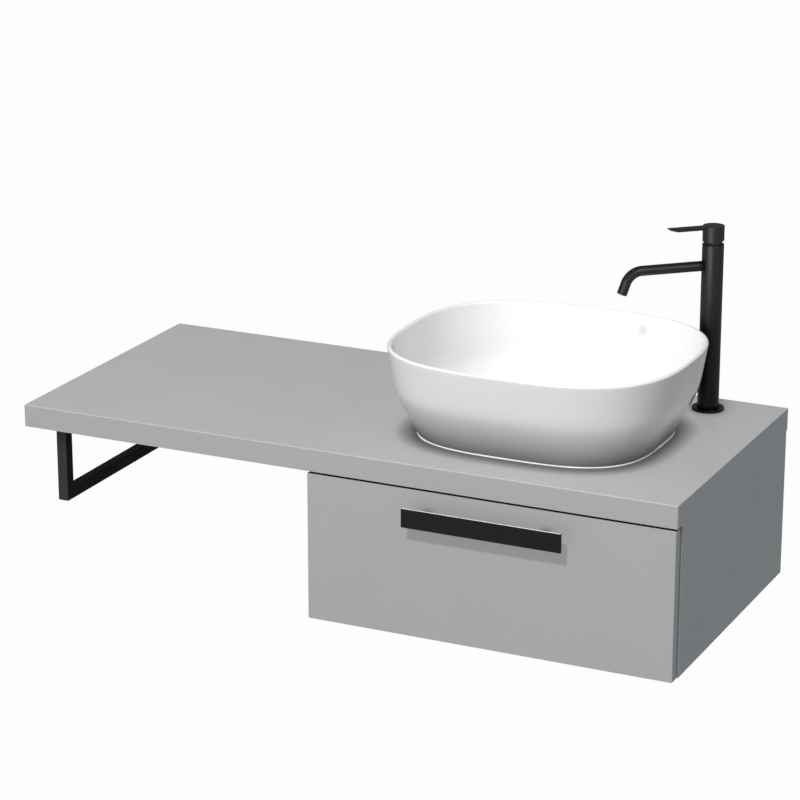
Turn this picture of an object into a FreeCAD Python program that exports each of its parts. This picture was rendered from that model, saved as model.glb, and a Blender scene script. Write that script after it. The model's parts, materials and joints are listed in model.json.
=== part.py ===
"""Wall-hung washstand: worktop, drawer cabinet, side bracket, vessel basin, waste, trap and tall mixer tap.

Frame: the origin is the middle of the worktop's rear edge, which stands against the wall.
+X runs to the right along the wall, +Y points into the wall and +Z points up. Lengths are millimetres.
"""
import FreeCAD, Part
import math
import os
import Sketcher
from FreeCAD import Placement, Rotation, Vector

# ---------------------------------------------------------------- driving sizes
# (alias in the sheet, number, what it is)
DRIVING_SIZES = [
    ("top_width", 1100, "worktop, left to right"),
    ("top_depth", 500, "worktop, wall to front"),
    ("top_thick", 36, "worktop thickness"),
    ("cabinet_width", 600, "cabinet over its side panels, flush with the worktop's right end"),
    ("cabinet_height", 240, "cabinet below the worktop"),
    ("cabinet_setback", 5, "gap between the cabinet's back and the wall"),
    ("panel_thick", 16, "carcass panels"),
    ("front_rail_depth", 80, "flat rail under the worktop's front"),
    ("hanging_rail_height", 90, "upright rail at the back"),
    ("notch_width", 20, "notch of the hanging rail beside each hanger"),
    ("notch_height", 60, "notch depth from the rail's top"),
    ("service_notch_left", 60, "bottom panel's notch for the supply pipes, left of the tap's axis"),
    ("service_notch_right", 40, "bottom panel's notch for the supply pipes, right of the tap's axis"),
    ("service_notch_depth", 90, "bottom panel's notch for the supply pipes, from its rear edge"),
    ("cam_radius", 7.5, "cam lock"),
    ("cam_height", 12, "cam lock"),
    ("cam_reach", 34, "cam centre from the panel's end"),
    ("cam_bolt_radius", 3.5, "cam bolt"),
    ("cam_bolt_bite", 10, "cam bolt's depth in the side panel"),
    ("front_thick", 19, "drawer front"),
    ("front_gap", 2, "drawer front to carcass"),
    ("front_side_reveal", 2, "drawer front inside the cabinet's outer faces"),
    ("front_top_gap", 3, "worktop to drawer front"),
    ("pull_length", 258, "flat pull bar"),
    ("pull_height", 30, "flat pull bar"),
    ("pull_thick", 4, "flat pull bar"),
    ("pull_drop", 26.2, "worktop's underside to the pull's top edge"),
    ("post_length", 21, "pull's stand-off posts"),
    ("post_radius", 5, "pull's stand-off posts"),
    ("post_spacing", 192, "post to post"),
    ("board_thick", 15, "drawer box boards"),
    ("drawer_height", 150, "drawer box"),
    ("drawer_lift", 17, "drawer box above the cabinet's bottom panel"),
    ("drawer_depth", 400, "drawer box behind the drawer front"),
    ("drawer_floor_thick", 8, "drawer bottom"),
    ("drawer_floor_rise", 10, "drawer bottom above the box's lower edge"),
    ("groove_depth", 6, "groove that holds the drawer bottom"),
    ("channel_width", 100, "slot through the drawer round the trap"),
    ("channel_reach", 75, "slot in front of the waste's axis"),
    ("runner_gap", 12.7, "side panel to drawer side"),
    ("runner_length", 400, "each runner member"),
    ("runner_height", 45, "outer member"),
    ("runner_middle_height", 38, "middle member"),
    ("runner_inner_height", 31, "inner member"),
    ("runner_skin", 1.2, "steel of the runner members"),
    ("runner_inset", 4, "runner behind the carcass's front edge"),
    ("tube_side", 18.4, "square tube of the side bracket"),
    ("tube_wall", 1.5, "square tube of the side bracket"),
    ("bracket_height", 130, "side bracket below the worktop"),
    ("bracket_setback", 35, "side bracket behind the worktop's front"),
    ("bracket_offset", 45, "tube's middle from the worktop's left end"),
    ("basin_x", 245, "basin's axis from the worktop's middle"),
    ("basin_wall_distance", 258, "basin's axis from the wall"),
    ("basin_height", 141, "rim above the worktop"),
    ("rim_half_x", 235.4, "rim outline, half width"),
    ("rim_half_y", 206.8, "rim outline, half depth"),
    ("rim_power", 2.88, "rim outline, superellipse power"),
    ("foot_half_x", 188.1, "foot outline, half width"),
    ("foot_half_y", 159.6, "foot outline, half depth"),
    ("foot_power", 3.15, "foot outline, superellipse power"),
    ("rim_thick", 7, "basin wall at the rim"),
    ("bowl_floor_height", 26, "bowl's floor above the worktop"),
    ("bowl_floor_thick", 12, "ceramic below the bowl's floor"),
    ("bowl_corner", 32, "bowl's inner corner radius at the floor"),
    ("foot_thick", 11, "foot's wall round the hollow underneath"),
    ("bead_width", 1.8, "sealant bead round the foot"),
    ("drain_radius", 22.5, "drain hole in the basin"),
    ("recess_radius", 33, "seat of the waste's flange"),
    ("recess_depth", 3, "seat of the waste's flange"),
    ("waste_radius", 20.95, "waste thread, one and a quarter inch"),
    ("waste_bore", 18, "waste body inside"),
    ("waste_drop", 50, "waste body below the worktop's top"),
    ("worktop_waste_radius", 40, "hole through the worktop for the waste"),
    ("plug_radius", 31, "waste plug's cap"),
    ("plug_lift", 5.5, "open plug above the waste's flange"),
    ("stem_radius", 4, "plug's stem"),
    ("pipe_radius", 16, "trap pipe outside"),
    ("pipe_wall", 1.2, "trap pipe"),
    ("pipe_stop_height", 1.5, "stop bead round the outlet pipe"),
    ("pipe_stop_start", 30, "outlet pipe's inner end to its stop bead"),
    ("pipe_stop_length", 5, "stop bead along the outlet pipe"),
    ("trap_axis_drop", 122, "trap's outlet axis below the worktop's underside"),
    ("trap_radius", 28, "trap body"),
    ("cup_radius", 31, "trap cup"),
    ("cup_height", 54, "trap cup"),
    ("cup_overlap", 16, "trap cup screwed over the trap body"),
    ("body_below_axis", 40, "trap body below the outlet's axis"),
    ("tap_x", 436, "tap's axis from the worktop's middle"),
    ("tap_wall_distance", 58, "tap's axis from the wall"),
    ("tap_angle", 222, "direction of spout and lever, from +X"),
    ("tap_flange_radius", 25.5, "tap's base flange"),
    ("tap_flange_height", 4, "tap's base flange"),
    ("column_radius", 17, "tap column"),
    ("column_bore", 13, "tap column inside"),
    ("column_height", 269, "column's shoulder above the worktop"),
    ("spout_height", 234.7, "spout's axis above the worktop"),
    ("spout_radius", 8, "spout outside"),
    ("spout_bore", 6, "spout inside"),
    ("spout_run", 117, "tap's axis to the start of the bend"),
    ("spout_bend", 28, "bend radius of the spout's axis"),
    ("spout_turn", 70, "spout's bend, degrees"),
    ("spout_drop", 18, "straight end after the bend"),
    ("pivot_height", 276, "lever's pivot above the worktop"),
    ("cap_height", 298, "lever cap's top above the worktop"),
    ("cap_gap", 4.6, "groove between column and cap, at the front"),
    ("cap_rear_cut", 2, "extra height of the groove at the back"),
    ("cap_wall", 2, "lever cap's skirt"),
    ("lever_reach", 75, "lever's tip from the tap's axis"),
    ("lever_width", 12.5, "lever blade"),
    ("lever_thick", 5, "lever blade"),
    ("shank_radius", 14, "tap's fixing thread"),
    ("tap_hole_radius", 17.5, "tap hole in the worktop"),
]

OVERSHOOT = 1.0          # how far a cutting tool runs past the face that it opens
SECTION_POINTS = 72      # points round one basin outline
SCREW_RADIUS = 2.0
SCREW_HEAD_RADIUS = 4.0
LONG_SCREW = 30.0
FRONT_SCREW = 28.0
SHORT_SCREW = 12.0

doc = FreeCAD.newDocument("washstand")
nodes = []


class Size:
    """A length with its number and the formula that ties it to the sheet."""

    def __init__(self, number, formula):
        self.number = float(number)
        self.formula = formula

    def __float__(self):
        return self.number

    def __add__(self, other):
        other = as_size(other)
        return Size(self.number + other.number, f"({self.formula} + {other.formula})")

    def __sub__(self, other):
        other = as_size(other)
        return Size(self.number - other.number, f"({self.formula} - {other.formula})")

    def __mul__(self, factor):
        return Size(self.number * factor, f"({self.formula} * {factor})")

    def __neg__(self):
        return Size(-self.number, f"(0 - {self.formula})")


def as_size(value):
    """A plain number becomes a Size, and a Size stays as it is."""
    if isinstance(value, Size):
        return value
    return Size(value, f"({float(value)})")


def make_sheet():
    """Write the driving sizes into the sheet and return them by alias."""
    sheet = doc.addObject("Spreadsheet::Sheet", "Sizes")
    for row, (alias, number, note) in enumerate(DRIVING_SIZES, start=1):
        sheet.set(f"A{row}", note)
        sheet.set(f"B{row}", str(number))
        sheet.setAlias(f"B{row}", alias)
    doc.recompute()
    return {alias: Size(sheet.get(alias), f"Sizes.{alias}") for alias, _, _ in DRIVING_SIZES}


size = make_sheet()

# ---------------------------------------------------------------- levels worked out from the sizes
TOP_Z = size["top_thick"] * 0.5
UNDER_Z = -TOP_Z
FRONT_Y = -size["top_depth"]
LEFT_X = -size["top_width"] * 0.5
RIGHT_X = size["top_width"] * 0.5
CABINET_LEFT = RIGHT_X - size["cabinet_width"]
INSIDE_LEFT = CABINET_LEFT + size["panel_thick"]
INSIDE_RIGHT = RIGHT_X - size["panel_thick"]
CABINET_LOW = UNDER_Z - size["cabinet_height"]
CARCASS_FRONT = FRONT_Y + size["front_thick"] + size["front_gap"]
CABINET_BACK = -size["cabinet_setback"]
RAIL_LOW = UNDER_Z - size["panel_thick"]
FRONT_BACK = FRONT_Y + size["front_thick"]
CABINET_MIDDLE = RIGHT_X - size["cabinet_width"] * 0.5
DRAWER_LOW = CABINET_LOW + size["panel_thick"] + size["drawer_lift"]
DRAWER_HIGH = DRAWER_LOW + size["drawer_height"]
DRAWER_BACK = FRONT_BACK + size["drawer_depth"]
DRAWER_LEFT = INSIDE_LEFT + size["runner_gap"]
DRAWER_RIGHT = INSIDE_RIGHT - size["runner_gap"]
BOX_LEFT = DRAWER_LEFT + size["board_thick"]
BOX_RIGHT = DRAWER_RIGHT - size["board_thick"]
BOX_FRONT = FRONT_BACK + size["board_thick"]
FLOOR_LOW = DRAWER_LOW + size["drawer_floor_rise"]
FLOOR_HIGH = FLOOR_LOW + size["drawer_floor_thick"]
BASIN_X = size["basin_x"]
BASIN_Y = -size["basin_wall_distance"]
CHANNEL_LEFT = BASIN_X - size["channel_width"] * 0.5
CHANNEL_RIGHT = BASIN_X + size["channel_width"] * 0.5
CHANNEL_FRONT = BASIN_Y - size["channel_reach"]
RUNNER_FRONT = CARCASS_FRONT + size["runner_inset"]
RUNNER_BACK = RUNNER_FRONT + size["runner_length"]
RUNNER_Z = (DRAWER_LOW + DRAWER_HIGH) * 0.5
PULL_HIGH = UNDER_Z - size["pull_drop"]
PULL_Z = PULL_HIGH - size["pull_height"] * 0.5
POST_FRONT = FRONT_Y - size["post_length"]
BRACKET_X = LEFT_X + size["bracket_offset"]
BRACKET_FRONT = FRONT_Y + size["bracket_setback"]
BRACKET_LOW = UNDER_Z - size["bracket_height"]
TRAP_Z = UNDER_Z - size["trap_axis_drop"]
TAP_X = size["tap_x"]
TAP_Y = -size["tap_wall_distance"]
PIVOT_Z = TOP_Z + size["pivot_height"]
TO_X = Rotation(Vector(0, 0, 1), Vector(1, 0, 0))
TO_LEFT = Rotation(Vector(0, 0, 1), Vector(-1, 0, 0))
TO_Y = Rotation(Vector(0, 0, 1), Vector(0, 1, 0))
TO_FRONT = Rotation(Vector(0, 0, 1), Vector(0, -1, 0))
UPWARD = Rotation()


# ---------------------------------------------------------------- helpers
def bind(thing, name, value):
    """Tie one property to its formula."""
    thing.setExpression(name, as_size(value).formula)


def place(thing, x, y, z, turn=UPWARD):
    """Turn an object and tie its position to the sheet."""
    thing.Placement = Placement(Vector(float(x), float(y), float(z)), turn)
    bind(thing, "Placement.Base.x", x)
    bind(thing, "Placement.Base.y", y)
    bind(thing, "Placement.Base.z", z)


def span(first, second):
    """Two positions in rising order."""
    return (first, second) if float(first) < float(second) else (second, first)


def block(name, xs, ys, zs):
    """A box between two positions along each axis."""
    box = doc.addObject("Part::Box", name)
    bind(box, "Length", as_size(xs[1]) - xs[0])
    bind(box, "Width", as_size(ys[1]) - ys[0])
    bind(box, "Height", as_size(zs[1]) - zs[0])
    place(box, xs[0], ys[0], zs[0])
    return box


def rod(name, x, y, z, radius, length, turn=UPWARD):
    """A cylinder from a point along the turned Z axis."""
    cylinder = doc.addObject("Part::Cylinder", name)
    bind(cylinder, "Radius", radius)
    bind(cylinder, "Height", length)
    place(cylinder, x, y, z, turn)
    return cylinder


def joined(name, pieces):
    """Several overlapping or touching shapes as one solid."""
    fuse = doc.addObject("Part::MultiFuse", name)
    fuse.Shapes = pieces
    return fuse


def group(name, pieces):
    """Separate solids that share one node."""
    compound = doc.addObject("Part::Compound", name)
    compound.Links = pieces
    return compound


def cut(name, base, tools):
    """The base with every tool taken away."""
    result = doc.addObject("Part::Cut", name)
    result.Base = base
    result.Tool = tools[0] if len(tools) == 1 else joined(name + "_tools", tools)
    return result


def feature(name, shape):
    """A shape made by formula, where no sketch or primitive fits."""
    thing = doc.addObject("Part::Feature", name)
    thing.Shape = shape
    return thing


def keep(label, thing):
    """Name a finished sub-part, so that it is written out."""
    thing.Label = label
    nodes.append(thing)
    return thing


def sketch_on(body, role, name):
    """A sketch on one of the body's own origin planes."""
    plane = next(item for item in body.Origin.OriginFeatures if item.Role == role)
    sketch = body.newObject("Sketcher::SketchObject", name)
    sketch.AttachmentSupport = [(plane, "")]
    sketch.MapMode = "FlatFace"
    return sketch


def draw_outline(sketch, corners):
    """A closed straight-sided outline, each corner tied to its two formulas."""
    first = sketch.GeometryCount
    points = [Vector(float(across), float(up), 0) for across, up in corners]
    for index, start in enumerate(points):
        end = points[(index + 1) % len(points)]
        sketch.addGeometry(Part.LineSegment(start, end), False)
    for index, (across, up) in enumerate(corners):
        line = first + index
        following = first + (index + 1) % len(corners)
        sketch.addConstraint(Sketcher.Constraint("Coincident", line, 2, following, 1))
        for kind, value in (("DistanceX", across), ("DistanceY", up)):
            number = sketch.addConstraint(Sketcher.Constraint(kind, -1, 1, line, 1, float(value)))
            bind(sketch, f"Constraints[{number}]", value)


def draw_circle(sketch, radius):
    """A circle about the sketch's origin."""
    circle = sketch.addGeometry(Part.Circle(Vector(), Vector(0, 0, 1), float(radius)), False)
    sketch.addConstraint(Sketcher.Constraint("Coincident", circle, 3, -1, 1))
    number = sketch.addConstraint(Sketcher.Constraint("Radius", circle, float(radius)))
    bind(sketch, f"Constraints[{number}]", radius)


def turned(name, corners, x, y, z, turn=UPWARD):
    """A body of revolution from corners given as (radius, height)."""
    body = doc.addObject("PartDesign::Body", name)
    sketch = sketch_on(body, "XZ_Plane", name + "_outline")
    draw_outline(sketch, corners)
    revolution = body.newObject("PartDesign::Revolution", name + "_turning")
    revolution.Profile = sketch
    revolution.ReferenceAxis = (sketch, ["V_Axis"])
    revolution.Angle = 360
    body.Tip = revolution
    place(body, x, y, z, turn)
    return body


def padded(name, corners, height, x, y, z, hole_radius=None):
    """A body pushed up from a flat outline, with a round hole on its axis where one is given."""
    body = doc.addObject("PartDesign::Body", name)
    sketch = sketch_on(body, "XY_Plane", name + "_outline")
    draw_outline(sketch, corners)
    if hole_radius is not None:
        draw_circle(sketch, hole_radius)
    pad = body.newObject("PartDesign::Pad", name + "_pad")
    pad.Profile = sketch
    bind(pad, "Length", height)
    body.Tip = pad
    place(body, x, y, z)
    return body


def washer_outline(inner, outer, height):
    """Corners of a plain ring."""
    return [(inner, 0), (outer, 0), (outer, height), (inner, height)]


def hexagon(across_corners):
    """Six corners about the origin."""
    return [(as_size(across_corners) * (0.5 * math.cos(math.radians(60 * step))),
             as_size(across_corners) * (0.5 * math.sin(math.radians(60 * step)))) for step in range(6)]


def cylinders(name, places, radius, length, turn):
    """Equal cylinders at several places, as one group."""
    shapes = []
    for x, y, z in places:
        cylinder = Part.makeCylinder(float(radius), float(length))
        cylinder.Placement = Placement(Vector(float(x), float(y), float(z)), turn)
        shapes.append(cylinder)
    return feature(name, Part.makeCompound(shapes))


SCREW_HEAD_HEIGHT = 2.0


def screw_shapes(places, length, turn, head_height=SCREW_HEAD_HEIGHT):
    """Pan-head cross-recess screws: each place is under the head and the tip points along the turned Z."""
    slot_length = 1.2 * SCREW_HEAD_RADIUS
    slot_width = 0.25 * SCREW_HEAD_RADIUS
    slot_depth = 0.5 * head_height
    head = Part.makeCylinder(SCREW_HEAD_RADIUS, head_height, Vector(0, 0, -head_height))
    for across, along in ((slot_length, slot_width), (slot_width, slot_length)):
        corner = Vector(-0.5 * across, -0.5 * along, -head_height)
        head = head.cut(Part.makeBox(across, along, slot_depth, corner))
    screw = head.fuse(Part.makeCylinder(SCREW_RADIUS, length)).removeSplitter()
    shapes = []
    for x, y, z in places:
        copy = screw.copy()
        copy.Placement = Placement(Vector(float(x), float(y), float(z)), turn)
        shapes.append(copy)
    return shapes


# ---------------------------------------------------------------- fixings that several parts share
RAIL_SCREW_SPACING = 220
RAIL_SCREW_INSET = 40
BRACKET_SCREW_DISTANCES = (60, 230, 400)
BRACKET_ACCESS_RADIUS = 5.0
BRACKET_WALL_HOLE_RADIUS = 3.25
BRACKET_WALL_HOLE_RISES = (35, 95)
RUNNER_SCREW_DISTANCES = (20, 200, 380)
FRONT_SCREW_ACROSS = 210
FRONT_SCREW_UP = 45
RAIL_SCREW_PLACES = [(CABINET_MIDDLE + RAIL_SCREW_SPACING * step, CARCASS_FRONT + RAIL_SCREW_INSET, RAIL_LOW)
                     for step in (-1, 0, 1)]
BRACKET_SCREW_PLACES = [(BRACKET_X, BRACKET_FRONT + distance, UNDER_Z - size["tube_wall"])
                        for distance in BRACKET_SCREW_DISTANCES]
BRACKET_ACCESS_PLACES = [(x, y, UNDER_Z - size["tube_side"] - OVERSHOOT) for x, y, z in BRACKET_SCREW_PLACES]
RUNNER_SCREW_YS = [RUNNER_FRONT + distance for distance in RUNNER_SCREW_DISTANCES]
FRONT_SCREW_PLACES = [(CABINET_MIDDLE + across, BOX_FRONT, RUNNER_Z + up)
                      for across in (-FRONT_SCREW_ACROSS, FRONT_SCREW_ACROSS)
                      for up in (-FRONT_SCREW_UP, FRONT_SCREW_UP)]
POST_XS = [CABINET_MIDDLE - size["post_spacing"] * 0.5, CABINET_MIDDLE + size["post_spacing"] * 0.5]


BOTTOM_CAM_INSET = 60        # cams of the bottom panel, from its front and rear edges
RAIL_CAM_INSET = 40          # cams of the front rail, from its front edge
HANGING_CAM_DROP = 15        # cams of the hanging rail, below its notches
CAM_SLOT = (9, 1.6, 2)       # screwdriver slot across a cam's face


def cam_joints():
    """Cam joints: the side's inner face, the direction into the rail, y, z and where the cam is bored."""
    bottom_z = CABINET_LOW + size["panel_thick"] * 0.5
    rail_z = RAIL_LOW + size["panel_thick"] * 0.5
    hanging_y = CABINET_BACK - size["panel_thick"] * 0.5
    hanging_z = UNDER_Z - size["notch_height"] - HANGING_CAM_DROP
    joints = []
    for face, inward in ((INSIDE_LEFT, 1), (INSIDE_RIGHT, -1)):
        joints.append((face, inward, CARCASS_FRONT + BOTTOM_CAM_INSET, bottom_z, "under"))
        joints.append((face, inward, CABINET_BACK - BOTTOM_CAM_INSET, bottom_z, "under"))
        joints.append((face, inward, CARCASS_FRONT + RAIL_CAM_INSET, rail_z, "under"))
        joints.append((face, inward, hanging_y, hanging_z, "front"))
    return joints


def cam_fixings():
    """Bolts held in the side panels, the cams that draw them in, and the bores for both."""
    half = size["panel_thick"] * 0.5
    bolt_length = float(size["cam_bolt_bite"] + size["cam_reach"])
    bolts = []
    cams = []
    bores = []
    for face, inward, y, z, side in cam_joints():
        bolt = Part.makeCylinder(float(size["cam_bolt_radius"]), bolt_length)
        start = float(face) - inward * float(size["cam_bolt_bite"])
        bolt.Placement = Placement(Vector(start, float(y), float(z)), TO_X if inward > 0 else TO_LEFT)
        bore = Part.makeCylinder(float(size["cam_radius"]), float(size["cam_height"]))
        cam = bore.cut(Part.makeBox(*CAM_SLOT, Vector(-0.5 * CAM_SLOT[0], -0.5 * CAM_SLOT[1], 0)))
        cam_x = float(face) + inward * float(size["cam_reach"])
        if side == "under":
            cam_place = Placement(Vector(cam_x, float(y), float(z - half)), UPWARD)
        else:
            cam_place = Placement(Vector(cam_x, float(y - half), float(z)), TO_Y)
        cam.Placement = cam_place
        bore.Placement = cam_place
        cams.append(cam)
        bolts.append(bolt.cut(bore))
        bores.append(bolt.fuse(bore))
    keep("cam_bolts", feature("cam_bolt_set", Part.makeCompound(bolts)))
    keep("cam_locks", feature("cam_lock_set", Part.makeCompound(cams)))
    return feature("cam_bores", Part.makeCompound(bores))


def make_worktop():
    slab = block("worktop_slab", (LEFT_X, RIGHT_X), (FRONT_Y, 0), (UNDER_Z, TOP_Z))
    depth = size["top_thick"] + 2 * OVERSHOOT
    waste_hole = rod("worktop_waste_hole", BASIN_X, BASIN_Y, UNDER_Z - OVERSHOOT,
                     size["worktop_waste_radius"], depth)
    tap_hole = rod("worktop_tap_hole", TAP_X, TAP_Y, UNDER_Z - OVERSHOOT, size["tap_hole_radius"], depth)
    pilots = cylinders("worktop_pilots", RAIL_SCREW_PLACES + BRACKET_SCREW_PLACES,
                       SCREW_RADIUS, LONG_SCREW, UPWARD)
    keep("worktop", cut("worktop_cut", slab, [waste_hole, tap_hole, pilots]))
    shapes = screw_shapes(RAIL_SCREW_PLACES + BRACKET_SCREW_PLACES, LONG_SCREW, UPWARD)
    keep("worktop_screws", feature("worktop_screw_set", Part.makeCompound(shapes)))


def make_carcass():
    bores = cam_fixings()
    depth = (CARCASS_FRONT, CABINET_BACK)
    height = (CABINET_LOW, UNDER_Z)
    inside = (INSIDE_LEFT, INSIDE_RIGHT)
    pilot = SHORT_SCREW - float(size["runner_skin"])
    for label, xs, face, turn in (("side_left", (CABINET_LEFT, INSIDE_LEFT), INSIDE_LEFT, TO_LEFT),
                                  ("side_right", (INSIDE_RIGHT, RIGHT_X), INSIDE_RIGHT, TO_X)):
        pilots = cylinders(label + "_pilots", [(face, y, RUNNER_Z) for y in RUNNER_SCREW_YS],
                           SCREW_RADIUS, pilot, turn)
        keep(label, cut(label + "_cut", block(label + "_board", xs, depth, height), [pilots, bores]))
    bottom = block("bottom_board", inside, depth, (CABINET_LOW, CABINET_LOW + size["panel_thick"]))
    service_xs = (TAP_X - size["service_notch_left"], TAP_X + size["service_notch_right"])
    service_notch = block("service_notch", service_xs,
                          (CABINET_BACK - size["service_notch_depth"], CABINET_BACK + OVERSHOOT),
                          (CABINET_LOW - OVERSHOOT, CABINET_LOW + size["panel_thick"] + OVERSHOOT))
    keep("bottom_panel", cut("bottom_cut", bottom, [service_notch, bores]))
    rail = block("front_rail_board", inside, (CARCASS_FRONT, CARCASS_FRONT + size["front_rail_depth"]),
                 (RAIL_LOW, UNDER_Z))
    clearances = cylinders("front_rail_clearances", RAIL_SCREW_PLACES, SCREW_RADIUS, LONG_SCREW, UPWARD)
    keep("front_rail", cut("front_rail_cut", rail, [bores, clearances]))
    rail_ys = (CABINET_BACK - size["panel_thick"], CABINET_BACK)
    hanging = block("hanging_rail_board", inside, rail_ys, (UNDER_Z - size["hanging_rail_height"], UNDER_Z))
    notch_zs = (UNDER_Z - size["notch_height"], UNDER_Z + OVERSHOOT)
    notch_ys = (rail_ys[0] - OVERSHOOT, rail_ys[1] + OVERSHOOT)
    left_notch = block("left_notch", (INSIDE_LEFT - OVERSHOOT, INSIDE_LEFT + size["notch_width"]),
                       notch_ys, notch_zs)
    right_notch = block("right_notch", (INSIDE_RIGHT - size["notch_width"], INSIDE_RIGHT + OVERSHOOT),
                        notch_ys, notch_zs)
    keep("hanging_rail", cut("hanging_rail_cut", hanging, [left_notch, right_notch, bores]))


CASE_WIDE = 14               # hanger's case, along the rail
CASE_DEEP = 45
CASE_DROPS = (55, 8)         # case's bottom and top below the worktop
ARM_WALL = 3                 # case's side to the arm
ARM_HIGH = 11
ARM_DROP = 34
ARM_GAP = 2.4                # arm's nose to the wall
ARM_ROOT = 5                 # arm inside the case
PLATE_HALF = 19
PLATE_THICK = 2
PLATE_DROPS = (64, 10)
LEDGE_HALF = 8
LEDGE_YS = (-4.6, -1.5)
LEDGE_THICK = 3
PLATE_HOLE_RADIUS = 3.0
PLATE_HOLE_ACROSS = 13       # half of the hole spacing, each way
PLATE_HOLE_UP = 20


def make_hangers():
    """Hanger boxes inside the cabinet's top corners, and the plates on the wall that carry them."""
    hangers = []
    plates = []
    rail_front = CABINET_BACK - size["panel_thick"]
    arm_low = UNDER_Z - ARM_DROP
    hole_z = UNDER_Z - 0.5 * sum(PLATE_DROPS)
    for name, face, inward in (("left", INSIDE_LEFT, 1), ("right", INSIDE_RIGHT, -1)):
        case = block(name + "_hanger_case", span(face, face + CASE_WIDE * inward),
                     (rail_front - CASE_DEEP, rail_front), (UNDER_Z - CASE_DROPS[0], UNDER_Z - CASE_DROPS[1]))
        arm_xs = span(face + ARM_WALL * inward, face + (CASE_WIDE - ARM_WALL) * inward)
        arm = block(name + "_hanger_arm", arm_xs, (rail_front - ARM_ROOT, -ARM_GAP),
                    (arm_low, arm_low + ARM_HIGH))
        hangers.append(joined(name + "_hanger", [case, arm]))
        middle = face + 0.5 * CASE_WIDE * inward
        plate = block(name + "_plate_sheet", (middle - PLATE_HALF, middle + PLATE_HALF), (-PLATE_THICK, 0),
                      (UNDER_Z - PLATE_DROPS[0], UNDER_Z - PLATE_DROPS[1]))
        ledge = block(name + "_plate_ledge", (middle - LEDGE_HALF, middle + LEDGE_HALF), LEDGE_YS,
                      (arm_low - LEDGE_THICK, arm_low))
        hole_places = [(middle + across, -PLATE_THICK - OVERSHOOT, hole_z + up)
                       for across in (-PLATE_HOLE_ACROSS, PLATE_HOLE_ACROSS)
                       for up in (-PLATE_HOLE_UP, PLATE_HOLE_UP)]
        holes = cylinders(name + "_plate_holes", hole_places, PLATE_HOLE_RADIUS,
                          PLATE_THICK + 2 * OVERSHOOT, TO_Y)
        plates.append(cut(name + "_plate", joined(name + "_plate_body", [plate, ledge]), [holes]))
    keep("cabinet_hangers", group("hanger_pair", hangers))
    keep("wall_plates", group("plate_pair", plates))


# Distances from the side panel's inner face: where each member's web and rims lie.
OUTER_WEB, OUTER_RIM = 0, 8.5
MIDDLE_WEB, MIDDLE_RIM = 2.8, 10.2
INNER_RIM = 5.2
RUNNER_HEAD_HEIGHT = 1.2


def runner_member(name, face, inward, web, rim, height):
    """A channel-section strip: web and rim are distances from the side panel's inner face."""
    skin = size["runner_skin"]
    half = as_size(height) * 0.5
    ys = (RUNNER_FRONT, RUNNER_BACK)
    near = min(web, rim)
    far = max(web, rim)
    strip = block(name + "_strip", span(face + near * inward, face + far * inward), ys,
                  (RUNNER_Z - half, RUNNER_Z + half))
    opens_away = rim > web
    hollow_start = face + (web + float(skin) if opens_away else rim - OVERSHOOT) * inward
    hollow_end = face + (rim + OVERSHOOT if opens_away else web - float(skin)) * inward
    hollow = block(name + "_hollow", span(hollow_start, hollow_end),
                   (RUNNER_FRONT - OVERSHOOT, RUNNER_BACK + OVERSHOOT),
                   (RUNNER_Z - half + skin, RUNNER_Z + half - skin))
    return cut(name, strip, [hollow])


def make_runners():
    """Full-extension runners: outer members on the cabinet, middle members, inner members on the drawer."""
    skin = float(size["runner_skin"])
    gap = float(size["runner_gap"])
    outer = []
    middle = []
    inner = []
    cabinet_screws = []
    drawer_screws = []
    for name, face, inward in (("left", INSIDE_LEFT, 1), ("right", INSIDE_RIGHT, -1)):
        outward_turn = TO_LEFT if inward > 0 else TO_X
        inward_turn = TO_X if inward > 0 else TO_LEFT
        outer_web = [(face + skin * inward, y, RUNNER_Z) for y in RUNNER_SCREW_YS]
        inner_web = [(face + (gap - skin) * inward, y, RUNNER_Z) for y in RUNNER_SCREW_YS]
        outer_strip = runner_member(name + "_outer", face, inward, OUTER_WEB, OUTER_RIM,
                                    size["runner_height"])
        outer_holes = cylinders(name + "_outer_holes", outer_web, SCREW_RADIUS, SHORT_SCREW, outward_turn)
        outer.append(cut(name + "_outer_strip_bored", outer_strip, [outer_holes]))
        middle.append(runner_member(name + "_middle", face, inward, MIDDLE_WEB, MIDDLE_RIM,
                                    size["runner_middle_height"]))
        inner_strip = runner_member(name + "_inner", face, inward, gap, INNER_RIM,
                                    size["runner_inner_height"])
        inner_holes = cylinders(name + "_inner_holes", inner_web, SCREW_RADIUS, SHORT_SCREW, inward_turn)
        inner.append(cut(name + "_inner_strip_bored", inner_strip, [inner_holes]))
        cabinet_screws += screw_shapes(outer_web, SHORT_SCREW, outward_turn, RUNNER_HEAD_HEIGHT)
        drawer_screws += screw_shapes(inner_web, SHORT_SCREW, inward_turn, RUNNER_HEAD_HEIGHT)
    keep("runner_outer_members", group("outer_pair", outer))
    keep("runner_middle_members", group("middle_pair", middle))
    keep("runner_inner_members", group("inner_pair", inner))
    keep("runner_screws", feature("runner_screw_set", Part.makeCompound(cabinet_screws)))
    keep("drawer_runner_screws", feature("drawer_runner_screw_set", Part.makeCompound(drawer_screws)))


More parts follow.
